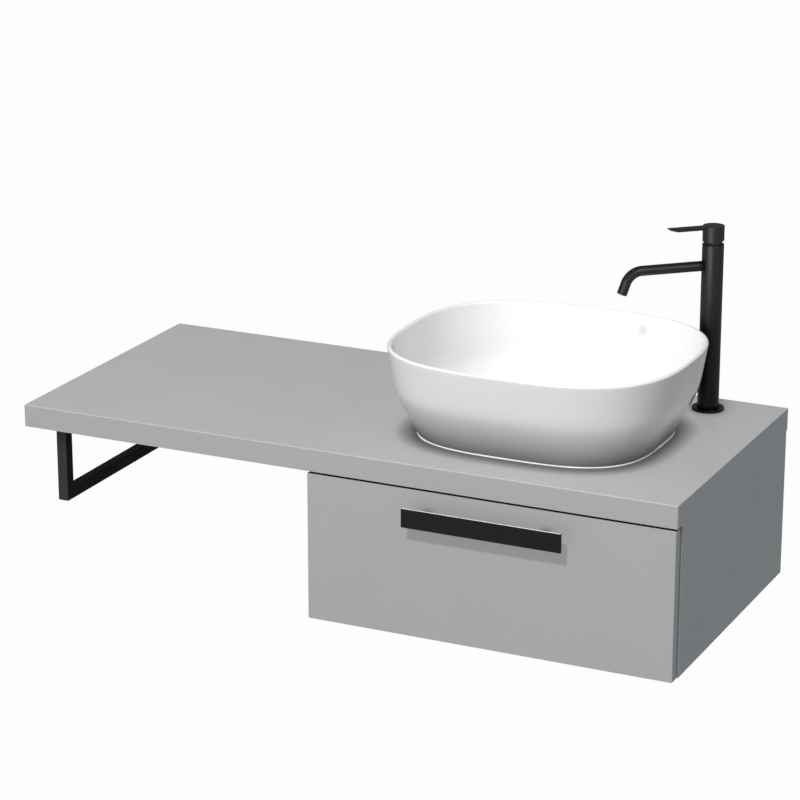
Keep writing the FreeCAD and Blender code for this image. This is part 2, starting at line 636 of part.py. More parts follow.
def make_drawer():
    box_zs = (DRAWER_LOW, DRAWER_HIGH)
    on_floor = (FLOOR_HIGH, DRAWER_HIGH)
    board = size["board_thick"]
    groove = size["groove_depth"]
    floor_corners = [
        (BOX_LEFT - groove, BOX_FRONT - groove),
        (BOX_RIGHT + groove, BOX_FRONT - groove),
        (BOX_RIGHT + groove, DRAWER_BACK),
        (CHANNEL_RIGHT, DRAWER_BACK),
        (CHANNEL_RIGHT, CHANNEL_FRONT),
        (CHANNEL_LEFT, CHANNEL_FRONT),
        (CHANNEL_LEFT, DRAWER_BACK),
        (BOX_LEFT - groove, DRAWER_BACK),
    ]
    floor = padded("drawer_bottom_body", floor_corners, size["drawer_floor_thick"], 0, 0, FLOOR_LOW)
    keep("drawer_bottom", floor)
    groove_tool = block("floor_groove", (BOX_LEFT - groove, BOX_RIGHT + groove),
                        (BOX_FRONT - groove, DRAWER_BACK), (FLOOR_LOW, FLOOR_HIGH))
    pilot = SHORT_SCREW - float(size["runner_skin"])
    for label, xs, face, turn in (("drawer_side_left", (DRAWER_LEFT, BOX_LEFT), DRAWER_LEFT, TO_X),
                                  ("drawer_side_right", (BOX_RIGHT, DRAWER_RIGHT), DRAWER_RIGHT, TO_LEFT)):
        pilots = cylinders(label + "_pilots", [(face, y, RUNNER_Z) for y in RUNNER_SCREW_YS],
                           SCREW_RADIUS, pilot, turn)
        side = block(label + "_board", xs, (FRONT_BACK, DRAWER_BACK), box_zs)
        keep(label, cut(label + "_cut", side, [pilots, groove_tool]))
    front_bores = cylinders("front_screw_bores", FRONT_SCREW_PLACES, SCREW_RADIUS, FRONT_SCREW, TO_FRONT)
    subfront = block("subfront_board", (BOX_LEFT, BOX_RIGHT), (FRONT_BACK, BOX_FRONT), box_zs)
    keep("drawer_subfront", cut("subfront_cut", subfront, [front_bores, groove_tool]))
    back_ys = (DRAWER_BACK - board, DRAWER_BACK)
    keep("drawer_back_left", block("back_left", (BOX_LEFT, CHANNEL_LEFT - board), back_ys, on_floor))
    keep("drawer_back_right", block("back_right", (CHANNEL_RIGHT + board, BOX_RIGHT), back_ys, on_floor))
    channel_ys = (CHANNEL_FRONT - board, DRAWER_BACK)
    left_xs = (CHANNEL_LEFT - board, CHANNEL_LEFT)
    right_xs = (CHANNEL_RIGHT, CHANNEL_RIGHT + board)
    keep("channel_left", block("channel_wall_left", left_xs, channel_ys, on_floor))
    keep("channel_right", block("channel_wall_right", right_xs, channel_ys, on_floor))
    keep("channel_front", block("channel_wall_front", (CHANNEL_LEFT, CHANNEL_RIGHT),
                                (CHANNEL_FRONT - board, CHANNEL_FRONT), on_floor))
    front_xs = (CABINET_LEFT + size["front_side_reveal"], RIGHT_X - size["front_side_reveal"])
    front = block("front_board", front_xs, (FRONT_Y, FRONT_BACK),
                  (CABINET_LOW, UNDER_Z - size["front_top_gap"]))
    pull_bores = cylinders("pull_bores", [(x, FRONT_BACK, PULL_Z) for x in POST_XS],
                           SCREW_RADIUS, LONG_SCREW, TO_FRONT)
    keep("drawer_front", cut("front_cut", front, [front_bores, pull_bores]))
    shapes = screw_shapes(FRONT_SCREW_PLACES, FRONT_SCREW, TO_FRONT)
    keep("front_screws", feature("front_screw_set", Part.makeCompound(shapes)))


def make_pull():
    """Flat bar on two posts, each held by a screw from inside the drawer front."""
    half = size["pull_length"] * 0.5
    keep("pull_bar", block("pull_flat", (CABINET_MIDDLE - half, CABINET_MIDDLE + half),
                           (POST_FRONT - size["pull_thick"], POST_FRONT),
                           (PULL_HIGH - size["pull_height"], PULL_HIGH)))
    posts = []
    for name, x in zip(("left", "right"), POST_XS):
        post = rod(name + "_post", x, FRONT_Y, PULL_Z, size["post_radius"], size["post_length"], TO_FRONT)
        tapping = rod(name + "_post_tapping", x, FRONT_BACK, PULL_Z, SCREW_RADIUS, LONG_SCREW, TO_FRONT)
        posts.append(cut(name + "_post_tapped", post, [tapping]))
    keep("pull_posts", group("post_pair", posts))
    shapes = screw_shapes([(x, FRONT_BACK, PULL_Z) for x in POST_XS], LONG_SCREW, TO_FRONT)
    keep("pull_screws", feature("pull_screw_set", Part.makeCompound(shapes)))


def make_bracket():
    """Closed loop of welded square tube, screwed up into the worktop and back into the wall."""
    side = size["tube_side"]
    wall = size["tube_wall"]
    half = side * 0.5
    xs = (BRACKET_X - half, BRACKET_X + half)
    outer = block("bracket_outside", xs, (BRACKET_FRONT, 0), (BRACKET_LOW, UNDER_Z))
    window = block("bracket_window", (xs[0] - OVERSHOOT, xs[1] + OVERSHOOT), (BRACKET_FRONT + side, -side),
                   (BRACKET_LOW + side, UNDER_Z - side))
    bore_outer = block("bracket_bore_outer", (xs[0] + wall, xs[1] - wall), (BRACKET_FRONT + wall, -wall),
                       (BRACKET_LOW + wall, UNDER_Z - wall))
    bore_inner = block("bracket_bore_inner", xs, (BRACKET_FRONT + side - wall, wall - side),
                       (BRACKET_LOW + side - wall, UNDER_Z - side + wall))
    bore = cut("bracket_bore", bore_outer, [bore_inner])
    screw_holes = cylinders("bracket_screw_holes", BRACKET_SCREW_PLACES, SCREW_RADIUS, LONG_SCREW, UPWARD)
    access = cylinders("bracket_access_holes", BRACKET_ACCESS_PLACES, BRACKET_ACCESS_RADIUS,
                       float(wall) + 2 * OVERSHOOT, UPWARD)
    wall_places = [(BRACKET_X, -side - OVERSHOOT, BRACKET_LOW + rise) for rise in BRACKET_WALL_HOLE_RISES]
    wall_holes = cylinders("bracket_wall_holes", wall_places, BRACKET_WALL_HOLE_RADIUS,
                           float(side) + 2 * OVERSHOOT, TO_Y)
    keep("support_bracket", cut("bracket_frame", outer, [window, bore, screw_holes, access, wall_holes]))


# ---------------------------------------------------------------- basin
WALL_FOOT_SLOPE = 1.55       # share of the flare gained per share of height, just above the foot
WALL_RIM_SLOPE = 0.47        # the same below the rim
WALL_BLEND = 0.05            # how softly the two slopes meet
WALL_SECTIONS = 10
BOWL_SECTIONS = 6
FOOT_DRAFT = 4               # the foot's wall thickens this much towards the floor
RIM_ROUNDING = 0.45          # of the rim's thickness
LEVEL_TOLERANCE = 0.01
BEAD_TOP_WIDTH = 0.3


def flare(share):
    """How far the wall has moved from foot to rim at a share of the height, from 0 to 1."""
    lower = WALL_FOOT_SLOPE * share
    upper = 1 - WALL_RIM_SLOPE * (1 - share)
    return 0.5 * (lower + upper - math.sqrt((lower - upper) ** 2 + 4 * WALL_BLEND ** 2))


def basin_outline(height, inset):
    """Closed superellipse at a height above the worktop, moved inwards by inset."""
    low = flare(0)
    share = (flare(height / float(size["basin_height"])) - low) / (flare(1) - low)
    half_x = float(size["foot_half_x"]) + share * float(size["rim_half_x"] - size["foot_half_x"]) - inset
    half_y = float(size["foot_half_y"]) + share * float(size["rim_half_y"] - size["foot_half_y"]) - inset
    power = float(size["foot_power"]) + share * float(size["rim_power"] - size["foot_power"])
    points = []
    for step in range(SECTION_POINTS):
        angle = 2 * math.pi * step / SECTION_POINTS
        reach = (abs(math.cos(angle)) ** power + abs(math.sin(angle)) ** power) ** (-1 / power)
        points.append(Vector(float(BASIN_X) + half_x * reach * math.cos(angle),
                             float(BASIN_Y) + half_y * reach * math.sin(angle), float(TOP_Z) + height))
    curve = Part.BSplineCurve()
    curve.interpolate(points, PeriodicFlag=True)
    return Part.Wire(curve.toShape())


def lofted(rings):
    """Solid through (height, inset) rings."""
    return Part.makeLoft([basin_outline(height, inset) for height, inset in rings], True, False)


def make_basin():
    height = float(size["basin_height"])
    thick = float(size["rim_thick"])
    corner = float(size["bowl_corner"])
    floor = float(size["bowl_floor_height"])
    outside = lofted([(height * step / WALL_SECTIONS, 0) for step in range(WALL_SECTIONS + 1)])
    bowl_rings = []
    for degrees in (0, 15, 30, 45, 60, 75, 90):
        rise = corner * (1 - math.cos(math.radians(degrees)))
        bowl_rings.append((floor + rise, thick + corner * (1 - math.sin(math.radians(degrees)))))
    wall_start = floor + corner
    for step in range(1, BOWL_SECTIONS + 1):
        bowl_rings.append((wall_start + (height - wall_start) * step / BOWL_SECTIONS, thick))
    bowl_rings.append((height + OVERSHOOT, thick))
    bowl = lofted(bowl_rings)
    foot_top = floor - float(size["bowl_floor_thick"])
    foot_thick = float(size["foot_thick"])
    foot_hollow = lofted([(-OVERSHOOT, foot_thick), (foot_top, foot_thick + FOOT_DRAFT)])
    axis = Vector(float(BASIN_X), float(BASIN_Y), float(TOP_Z))
    drain = Part.makeCylinder(float(size["drain_radius"]), height, axis)
    recess_low = axis + Vector(0, 0, floor - float(size["recess_depth"]))
    recess = Part.makeCylinder(float(size["recess_radius"]), height, recess_low)
    shell = outside.cut(bowl).cut(foot_hollow).cut(drain).cut(recess)
    rim_edges = [edge for edge in shell.Edges
                 if edge.BoundBox.ZMin > float(TOP_Z) + height - LEVEL_TOLERANCE]
    shell = shell.makeFillet(RIM_ROUNDING * thick, rim_edges)
    keep("basin", feature("basin_shell", shell))
    width = float(size["bead_width"])
    bead = lofted([(0, -width), (width, -BEAD_TOP_WIDTH)]).cut(outside)
    keep("sealant_bead", feature("bead_ring", bead))


# ---------------------------------------------------------------- waste and trap
FLANGE_HIGH = TOP_Z + size["bowl_floor_height"] + 0.5
SEAT_Z = TOP_Z + size["bowl_floor_height"] - size["recess_depth"]
FLOOR_UNDER = TOP_Z + size["bowl_floor_height"] - size["bowl_floor_thick"]
WASTE_LOW = TOP_Z - size["waste_drop"]
SEAL_THICK = 1.0
GASKET_THICK = 4.0
NUT_THICK = 9.0
NUT_ACROSS_CORNERS = 60
GASKET_RADIUS = 32
THREAD_PLAY = 0.02           # radius between a thread and its nut
WASHER_PLAY = 0.1            # radius between a ring and what it surrounds
FLANGE_EASE = 1.0
SPIDER_LOW = 12              # spider's bars below the seat
SPIDER_HIGH = 8
SPIDER_HALF = 1.5
BOSS_RADIUS = 7.5
BOSS_LENGTH = 8
GUIDE_PLAY = 0.06
PLUG_COLLAR_RADIUS = 9
PLUG_COLLAR = 3.5
PLUG_EDGE_LOW = 0.8
PLUG_EDGE_HIGH = 2.2
PLUG_SHOULDER = 3.2
PLUG_DOME = 4.2
STEM_LENGTH = 28


def make_waste():
    """Flanged waste clamped through the basin's floor by a back nut, with a push plug on a guided stem."""
    radius = size["waste_radius"]
    bore = size["waste_bore"]
    flange_radius = size["recess_radius"] - 1
    tube = turned("waste_turning", [
        (bore, WASTE_LOW - SEAT_Z),
        (radius, WASTE_LOW - SEAT_Z),
        (radius, SEAL_THICK),
        (flange_radius, SEAL_THICK),
        (flange_radius, FLANGE_HIGH - SEAT_Z - FLANGE_EASE),
        (flange_radius - FLANGE_EASE, FLANGE_HIGH - SEAT_Z),
        (bore + 2 * FLANGE_EASE, FLANGE_HIGH - SEAT_Z),
        (bore, FLANGE_HIGH - SEAT_Z - 2 * FLANGE_EASE),
    ], BASIN_X, BASIN_Y, SEAT_Z)
    spider_zs = (SEAT_Z - SPIDER_LOW, SEAT_Z - SPIDER_HIGH)
    reach = bore + 1
    long_xs = (BASIN_X - reach, BASIN_X + reach)
    long_ys = (BASIN_Y - reach, BASIN_Y + reach)
    narrow_xs = (BASIN_X - SPIDER_HALF, BASIN_X + SPIDER_HALF)
    narrow_ys = (BASIN_Y - SPIDER_HALF, BASIN_Y + SPIDER_HALF)
    boss_low = SEAT_Z - SPIDER_LOW - 2
    bars = [
        block("spider_bar_x", long_xs, narrow_ys, spider_zs),
        block("spider_bar_y", narrow_xs, long_ys, spider_zs),
        rod("spider_boss", BASIN_X, BASIN_Y, boss_low, BOSS_RADIUS, BOSS_LENGTH),
    ]
    guide = rod("stem_guide", BASIN_X, BASIN_Y, boss_low - 2,
                size["stem_radius"] + GUIDE_PLAY, BOSS_LENGTH + 6)
    keep("waste_body", cut("waste_bored", joined("waste_cast", [tube] + bars), [guide]))
    seal = washer_outline(radius + WASHER_PLAY, flange_radius - 1, SEAL_THICK)
    keep("waste_seal", turned("seal_ring", seal, BASIN_X, BASIN_Y, SEAT_Z))
    gasket = washer_outline(radius + WASHER_PLAY, GASKET_RADIUS, GASKET_THICK)
    keep("waste_gasket", turned("gasket_ring", gasket, BASIN_X, BASIN_Y, FLOOR_UNDER - GASKET_THICK))
    keep("waste_nut", padded("nut_hexagon", hexagon(NUT_ACROSS_CORNERS), NUT_THICK, BASIN_X, BASIN_Y,
                             FLOOR_UNDER - GASKET_THICK - NUT_THICK, radius + THREAD_PLAY))
    plug_low = FLANGE_HIGH + size["plug_lift"]
    plug_radius = size["plug_radius"]
    keep("waste_plug", turned("plug_turning", [
        (0, -PLUG_COLLAR),
        (PLUG_COLLAR_RADIUS, -PLUG_COLLAR),
        (PLUG_COLLAR_RADIUS, 0),
        (plug_radius - PLUG_EDGE_LOW, 0),
        (plug_radius, PLUG_EDGE_LOW),
        (plug_radius, PLUG_EDGE_HIGH),
        (plug_radius - 1.2, PLUG_SHOULDER),
        (plug_radius * 0.6, PLUG_DOME - 0.2),
        (0, PLUG_DOME),
    ], BASIN_X, BASIN_Y, plug_low))
    keep("plug_stem", turned("stem_turning", [
        (0, 0),
        (size["stem_radius"] - 1, 0),
        (size["stem_radius"], 1),
        (size["stem_radius"], STEM_LENGTH),
        (0, STEM_LENGTH),
    ], BASIN_X, BASIN_Y, plug_low - PLUG_COLLAR - STEM_LENGTH))


TAIL_FLANGE_RADIUS = 20
TAIL_FLANGE_THICK = 2
TAIL_DIP = 10                # tailpiece below the trap body
INLET_NUT_RADIUS = 26
INLET_NUT_HIGH = 14
INLET_NUT_SKIRT = 5
NECK_RADIUS = 22
NECK_HIGH = 38               # trap body's neck above the outlet's axis
SHOULDER_HIGH = 24
BODY_WALL = 3
BODY_ROOF = 20
BRANCH_WALL = 3.5
BRANCH_LENGTH = 24
CUP_CORNER = 8
CUP_FLOOR = 3
OUTLET_NUT_WALL = 5.5
OUTLET_NUT_BACK = 12         # outlet nut over the branch
OUTLET_NUT_FRONT = 6
PIPE_START = 4               # trap body to the outlet pipe's inner end


def make_trap():
    """Bottle trap: the tailpiece dips into the cup and the outlet runs back to the wall."""
    pipe = size["pipe_radius"]
    bore = pipe - size["pipe_wall"]
    flange_z = WASTE_LOW - TAIL_FLANGE_THICK
    dip_low = TRAP_Z - size["body_below_axis"] - TAIL_DIP
    keep("trap_tailpiece", turned("tailpiece_turning", [
        (bore, dip_low - flange_z),
        (pipe, dip_low - flange_z),
        (pipe, 0),
        (TAIL_FLANGE_RADIUS, 0),
        (TAIL_FLANGE_RADIUS, TAIL_FLANGE_THICK),
        (bore, TAIL_FLANGE_THICK),
    ], BASIN_X, BASIN_Y, flange_z))
    keep("trap_inlet_nut", turned("inlet_nut_turning", [
        (pipe + WASHER_PLAY, -INLET_NUT_SKIRT),
        (INLET_NUT_RADIUS - 2, -INLET_NUT_SKIRT),
        (INLET_NUT_RADIUS, 2 - INLET_NUT_SKIRT),
        (INLET_NUT_RADIUS, INLET_NUT_HIGH),
        (size["waste_radius"] + THREAD_PLAY, INLET_NUT_HIGH),
        (size["waste_radius"] + THREAD_PLAY, 0),
        (pipe + WASHER_PLAY, 0),
    ], BASIN_X, BASIN_Y, flange_z))
    body_radius = size["trap_radius"]
    body_bore = body_radius - BODY_WALL
    body_low = -size["body_below_axis"]
    branch_radius = pipe + BRANCH_WALL
    shell = turned("trap_shell", [
        (pipe + WASHER_PLAY, NECK_HIGH),
        (NECK_RADIUS, NECK_HIGH),
        (NECK_RADIUS, SHOULDER_HIGH),
        (body_radius - 2, SHOULDER_HIGH),
        (body_radius, SHOULDER_HIGH - 2),
        (body_radius, body_low),
        (body_bore, body_low),
        (body_bore, BODY_ROOF),
        (pipe + WASHER_PLAY, BODY_ROOF),
    ], BASIN_X, BASIN_Y, TRAP_Z)
    branch = rod("trap_branch", BASIN_X, BASIN_Y + body_bore - 0.5, TRAP_Z,
                 branch_radius, BRANCH_LENGTH + BODY_WALL + 0.5, TO_Y)
    passage = rod("trap_passage", BASIN_X, BASIN_Y + pipe + 2, TRAP_Z,
                  pipe + WASHER_PLAY, body_radius + BRANCH_LENGTH, TO_Y)
    keep("trap_body", cut("trap_cast", joined("trap_cast_body", [shell, branch]), [passage]))
    cup = size["cup_radius"]
    cup_high = body_low + size["cup_overlap"]
    cup_low = cup_high - size["cup_height"]
    keep("trap_cup", turned("cup_turning", [
        (0, cup_low),
        (cup - CUP_CORNER, cup_low),
        (cup, cup_low + CUP_CORNER),
        (cup, cup_high),
        (body_radius + WASHER_PLAY, cup_high),
        (body_radius + WASHER_PLAY, body_low - 0.5),
        (body_bore, body_low - 0.5),
        (body_bore, cup_low + CUP_CORNER + 1),
        (cup - CUP_CORNER - 1, cup_low + CUP_FLOOR),
        (0, cup_low + CUP_FLOOR),
    ], BASIN_X, BASIN_Y, TRAP_Z))
    pipe_start = BASIN_Y + body_radius + PIPE_START
    stop_start = size["pipe_stop_start"]
    stop_end = stop_start + size["pipe_stop_length"]
    stop_radius = pipe + size["pipe_stop_height"]
    keep("trap_outlet_pipe", turned("outlet_pipe_turning", [
        (bore, 0),
        (pipe, 0),
        (pipe, stop_start),
        (stop_radius, stop_start + 1),
        (stop_radius, stop_end - 1),
        (pipe, stop_end),
        (pipe, -pipe_start),
        (bore, -pipe_start),
    ], BASIN_X, pipe_start, TRAP_Z, TO_Y))
    nut_bore = branch_radius + 0.05
    nut_radius = branch_radius + OUTLET_NUT_WALL
    keep("trap_outlet_nut", turned("outlet_nut_turning", [
        (nut_bore, -OUTLET_NUT_BACK),
        (nut_radius, -OUTLET_NUT_BACK),
        (nut_radius, OUTLET_NUT_FRONT - 2),
        (nut_radius - 2, OUTLET_NUT_FRONT),
        (pipe + WASHER_PLAY, OUTLET_NUT_FRONT),
        (pipe + WASHER_PLAY, 0.2),
        (nut_bore, 0.2),
    ], BASIN_X, BASIN_Y + body_radius + BRANCH_LENGTH, TRAP_Z, TO_Y))


# ---------------------------------------------------------------- tap
TAP_BASE = TOP_Z + size["tap_flange_height"]
COLUMN_HIGH = TOP_Z + size["column_height"]
SOCKET_RADIUS = 4.5
SOCKET_OFFSET = 6.0
SUPPLY_RADIUS = 3.5
SUPPLY_BORE = 2.5
CHAMBER_DEPTH = 26       # column's top down to the underside of the cartridge's seat
SEAT_WALL = 5
THREAD_DEPTH = 6         # cartridge nut's thread
SHANK_GRIP = 10          # threaded shank inside the column's foot
SOCKET_DEPTH = 12
LEVER_DIRECTION = Vector(math.cos(math.radians(float(size["tap_angle"]))),
                         math.sin(math.radians(float(size["tap_angle"]))), 0)
TAP_TURN = Rotation(Vector(0, 0, 1), float(size["tap_angle"]))


def tap_point(along, sideways, z):
    """A point in the tap's own directions: along the spout, sideways and up."""
    across = Vector(-LEVER_DIRECTION.y, LEVER_DIRECTION.x, 0)
    flat = Vector(float(TAP_X), float(TAP_Y), 0) + LEVER_DIRECTION * along + across * sideways
    return Vector(flat.x, flat.y, float(z))


def turned_box(along, sideways, zs):
    """A box whose sides lie along and across the spout."""
    box = Part.makeBox(along[1] - along[0], sideways[1] - sideways[0], float(zs[1]) - float(zs[0]))
    box.Placement = Placement(tap_point(along[0], sideways[0], zs[0]), TAP_TURN)
    return box


def make_column():
    radius = size["column_radius"]
    bore = size["column_bore"]
    flange_bore = size["shank_radius"] + 0.2
    ease = 0.6
    keep("tap_flange", turned("flange_turning", [
        (flange_bore, 0),
        (size["tap_flange_radius"], 0),
        (size["tap_flange_radius"], size["tap_flange_height"] - ease),
        (size["tap_flange_radius"] - ease, size["tap_flange_height"]),
        (flange_bore, size["tap_flange_height"]),
    ], TAP_X, TAP_Y, TOP_Z))
    column = COLUMN_HIGH - TAP_BASE
    seat = column - CHAMBER_DEPTH
    socket_top = SHANK_GRIP + SOCKET_DEPTH
    turning = turned("column_turning", [
        (size["shank_radius"], 0),
        (radius, 0),
        (radius, column),
        (bore, column),
        (bore, column - THREAD_DEPTH),
        (bore - 0.4, column - THREAD_DEPTH),
        (bore - 0.4, seat + SEAT_WALL),
        (0, seat + SEAT_WALL),
        (0, seat),
        (bore, seat),
        (bore, socket_top),
        (0, socket_top),
        (0, SHANK_GRIP),
        (size["shank_radius"], SHANK_GRIP),
    ], TAP_X, TAP_Y, TAP_BASE)
    socket_z = TAP_BASE + SHANK_GRIP - OVERSHOOT
    socket_places = [tap_point(0, side * SOCKET_OFFSET, socket_z) for side in (-1, 1)]
    sockets = cylinders("tap_sockets", socket_places, SOCKET_RADIUS,
                        SOCKET_DEPTH + 2 * OVERSHOOT, UPWARD)
    port_z = TAP_BASE + seat - OVERSHOOT
    port_places = [tap_point(along, sideways, port_z)
                   for along, sideways in ((0, -SOCKET_OFFSET), (0, SOCKET_OFFSET), (SOCKET_OFFSET, 0))]
    ports = cylinders("tap_ports", port_places, SUPPLY_BORE, SEAT_WALL + 2 * OVERSHOOT, UPWARD)
    outlet = rod("spout_hole", TAP_X, TAP_Y, TOP_Z + size["spout_height"], size["spout_radius"], radius + 5,
                 Rotation(Vector(0, 0, 1), LEVER_DIRECTION))
    keep("tap_column", cut("column_bored", turning, [sockets, ports, outlet]))
    tubes = []
    for side in (-1, 1):
        low = tap_point(0, side * SOCKET_OFFSET, TAP_BASE + socket_top)
        length = float(seat) - socket_top
        tube = Part.makeCylinder(SUPPLY_RADIUS, length, low)
        tubes.append(tube.cut(Part.makeCylinder(SUPPLY_BORE, length, low)))
    keep("supply_tubes", feature("supply_tube_pair", Part.makeCompound(tubes)))


def make_spout():
    """Round tube swept along a straight run, a bend and a short straight end."""
    start = size["column_bore"]
    run = size["spout_run"] - start
    bend = size["spout_bend"]
    turn = math.radians(float(size["spout_turn"]))
    body = doc.addObject("PartDesign::Body", "spout_sweep")
    spine = sketch_on(body, "XZ_Plane", "spout_spine")
    bend_start = Vector(float(run), 0, 0)
    centre = Vector(float(run), -float(bend), 0)
    bend_end = centre + Vector(float(bend) * math.sin(turn), float(bend) * math.cos(turn), 0)
    tip = bend_end + Vector(math.cos(turn), -math.sin(turn), 0) * float(size["spout_drop"])
    spine.addGeometry(Part.LineSegment(Vector(), bend_start), False)
    circle = Part.Circle(centre, Vector(0, 0, 1), float(bend))
    spine.addGeometry(Part.ArcOfCircle(circle, math.pi / 2 - turn, math.pi / 2), False)
    spine.addGeometry(Part.LineSegment(bend_end, tip), False)
    spine.addConstraint(Sketcher.Constraint("Coincident", 0, 1, -1, 1))
    spine.addConstraint(Sketcher.Constraint("Horizontal", 0))
    spine.addConstraint(Sketcher.Constraint("Tangent", 0, 2, 1, 2))
    spine.addConstraint(Sketcher.Constraint("Tangent", 1, 1, 2, 1))
    driven = (
        (Sketcher.Constraint("DistanceX", -1, 1, 0, 2, float(run)), run),
        (Sketcher.Constraint("Radius", 1, float(bend)), bend),
        (Sketcher.Constraint("DistanceX", -1, 1, 1, 1, bend_end.x), run + bend * math.sin(turn)),
        (Sketcher.Constraint("Distance", 2, float(size["spout_drop"])), size["spout_drop"]),
    )
    for constraint, value in driven:
        number = spine.addConstraint(constraint)
        bind(spine, f"Constraints[{number}]", value)
    section = sketch_on(body, "YZ_Plane", "spout_section")
    draw_circle(section, size["spout_radius"])
    draw_circle(section, size["spout_bore"])
    doc.recompute()
    pipe = body.newObject("PartDesign::AdditivePipe", "spout_pipe")
    pipe.Profile = section
    pipe.Spine = spine
    body.Tip = pipe
    foot = tap_point(float(start), 0, TOP_Z + size["spout_height"])
    body.Placement = Placement(foot, TAP_TURN)
    keep("tap_spout", body)
    outlet = tap_point(float(start) + tip.x, 0, float(TOP_Z + size["spout_height"]) + tip.y)
    flow = LEVER_DIRECTION * math.cos(turn) + Vector(0, 0, -math.sin(turn))
    return outlet, flow


def make_aerator(outlet, flow):
    """Cup with a perforated face, set just inside the spout's mouth."""
    depth = 8.0
    recess = 1.0
    wall = 1.0
    face_thick = 1.5
    jet_radius = 0.55
    radius = float(size["spout_bore"])
    inner = outlet - flow * (depth + recess)
    cup = Part.makeCylinder(radius, depth, inner, flow)
    cup = cup.cut(Part.makeCylinder(radius - wall, depth - face_thick, inner, flow))
    turn = Rotation(Vector(0, 0, 1), flow)
    for ring_radius, count in ((0, 1), (2.0, 6), (4.0, 12)):
        for step in range(count):
            angle = 2 * math.pi * step / count
            offset = turn.multVec(Vector(ring_radius * math.cos(angle), ring_radius * math.sin(angle), 0))
            cup = cup.cut(Part.makeCylinder(jet_radius, depth + OVERSHOOT, inner + offset, flow))
    keep("aerator", feature("aerator_cup", cup))


def make_cartridge():
    """Mixing cartridge: housing, nut with a round shoulder, turning carrier, pivot pin and stem."""
    seat_z = COLUMN_HIGH - CHAMBER_DEPTH + SEAT_WALL
    housing_radius = size["column_bore"] - 0.5
    housing_high = 14.8
    chamber = 9.5
    floor = 4.0
    play = 0.3
    keep("cartridge_housing", turned("housing_turning", [
        (0, 0),
        (housing_radius, 0),
        (housing_radius, housing_high),
        (chamber, housing_high),
        (chamber, floor),
        (0, floor),
    ], TAP_X, TAP_Y, seat_z))
    ball = float(size["column_radius"]) - float(size["cap_wall"]) - 0.4
    drop = float(PIVOT_Z - COLUMN_HIGH)
    rise = 4.0
    pin_radius = 1.5
    stem_half = 4.0
    base = Vector(float(TAP_X), float(TAP_Y), float(COLUMN_HIGH))
    dome = Part.makeSphere(ball, Vector(base.x, base.y, float(PIVOT_Z)))
    zone = Part.makeCylinder(ball + 1, drop + rise, base)
    thread = Part.makeCylinder(float(size["column_bore"]), THREAD_DEPTH, base - Vector(0, 0, THREAD_DEPTH))
    hole = Part.makeCylinder(chamber, 40, base - Vector(0, 0, 10))
    nut = dome.common(zone).fuse(thread).cut(hole)
    keep("cartridge_nut", feature("nut_with_dome", nut))
    carrier_low = float(seat_z) + floor + play
    carrier_high = float(PIVOT_Z) + rise
    carrier_radius = chamber - play
    slot_half = stem_half + 0.2
    stem_low = float(PIVOT_Z) - 12
    stem_high = float(TOP_Z + size["cap_height"]) - 5
    carrier = Part.makeCylinder(carrier_radius, carrier_high - carrier_low,
                                Vector(base.x, base.y, carrier_low))
    slot = turned_box((-chamber, chamber), (-slot_half, slot_half), (stem_low - 1, carrier_high + OVERSHOOT))
    pin_axis = tap_point(0, 1, 0) - tap_point(0, 0, 0)
    pin = Part.makeCylinder(pin_radius, 18, tap_point(0, -9, PIVOT_Z), pin_axis)
    keep("cartridge_carrier", feature("carrier_fork", carrier.cut(slot).cut(pin)))
    keep("pivot_pin", feature("carrier_pin", pin))
    stem = turned_box((-stem_half, stem_half), (-stem_half, stem_half), (stem_low, stem_high))
    stem_bore = Part.makeCylinder(pin_radius + 0.05, 20, tap_point(0, -10, PIVOT_Z), pin_axis)
    keep("lever_stem", feature("square_stem", stem.cut(stem_bore)))


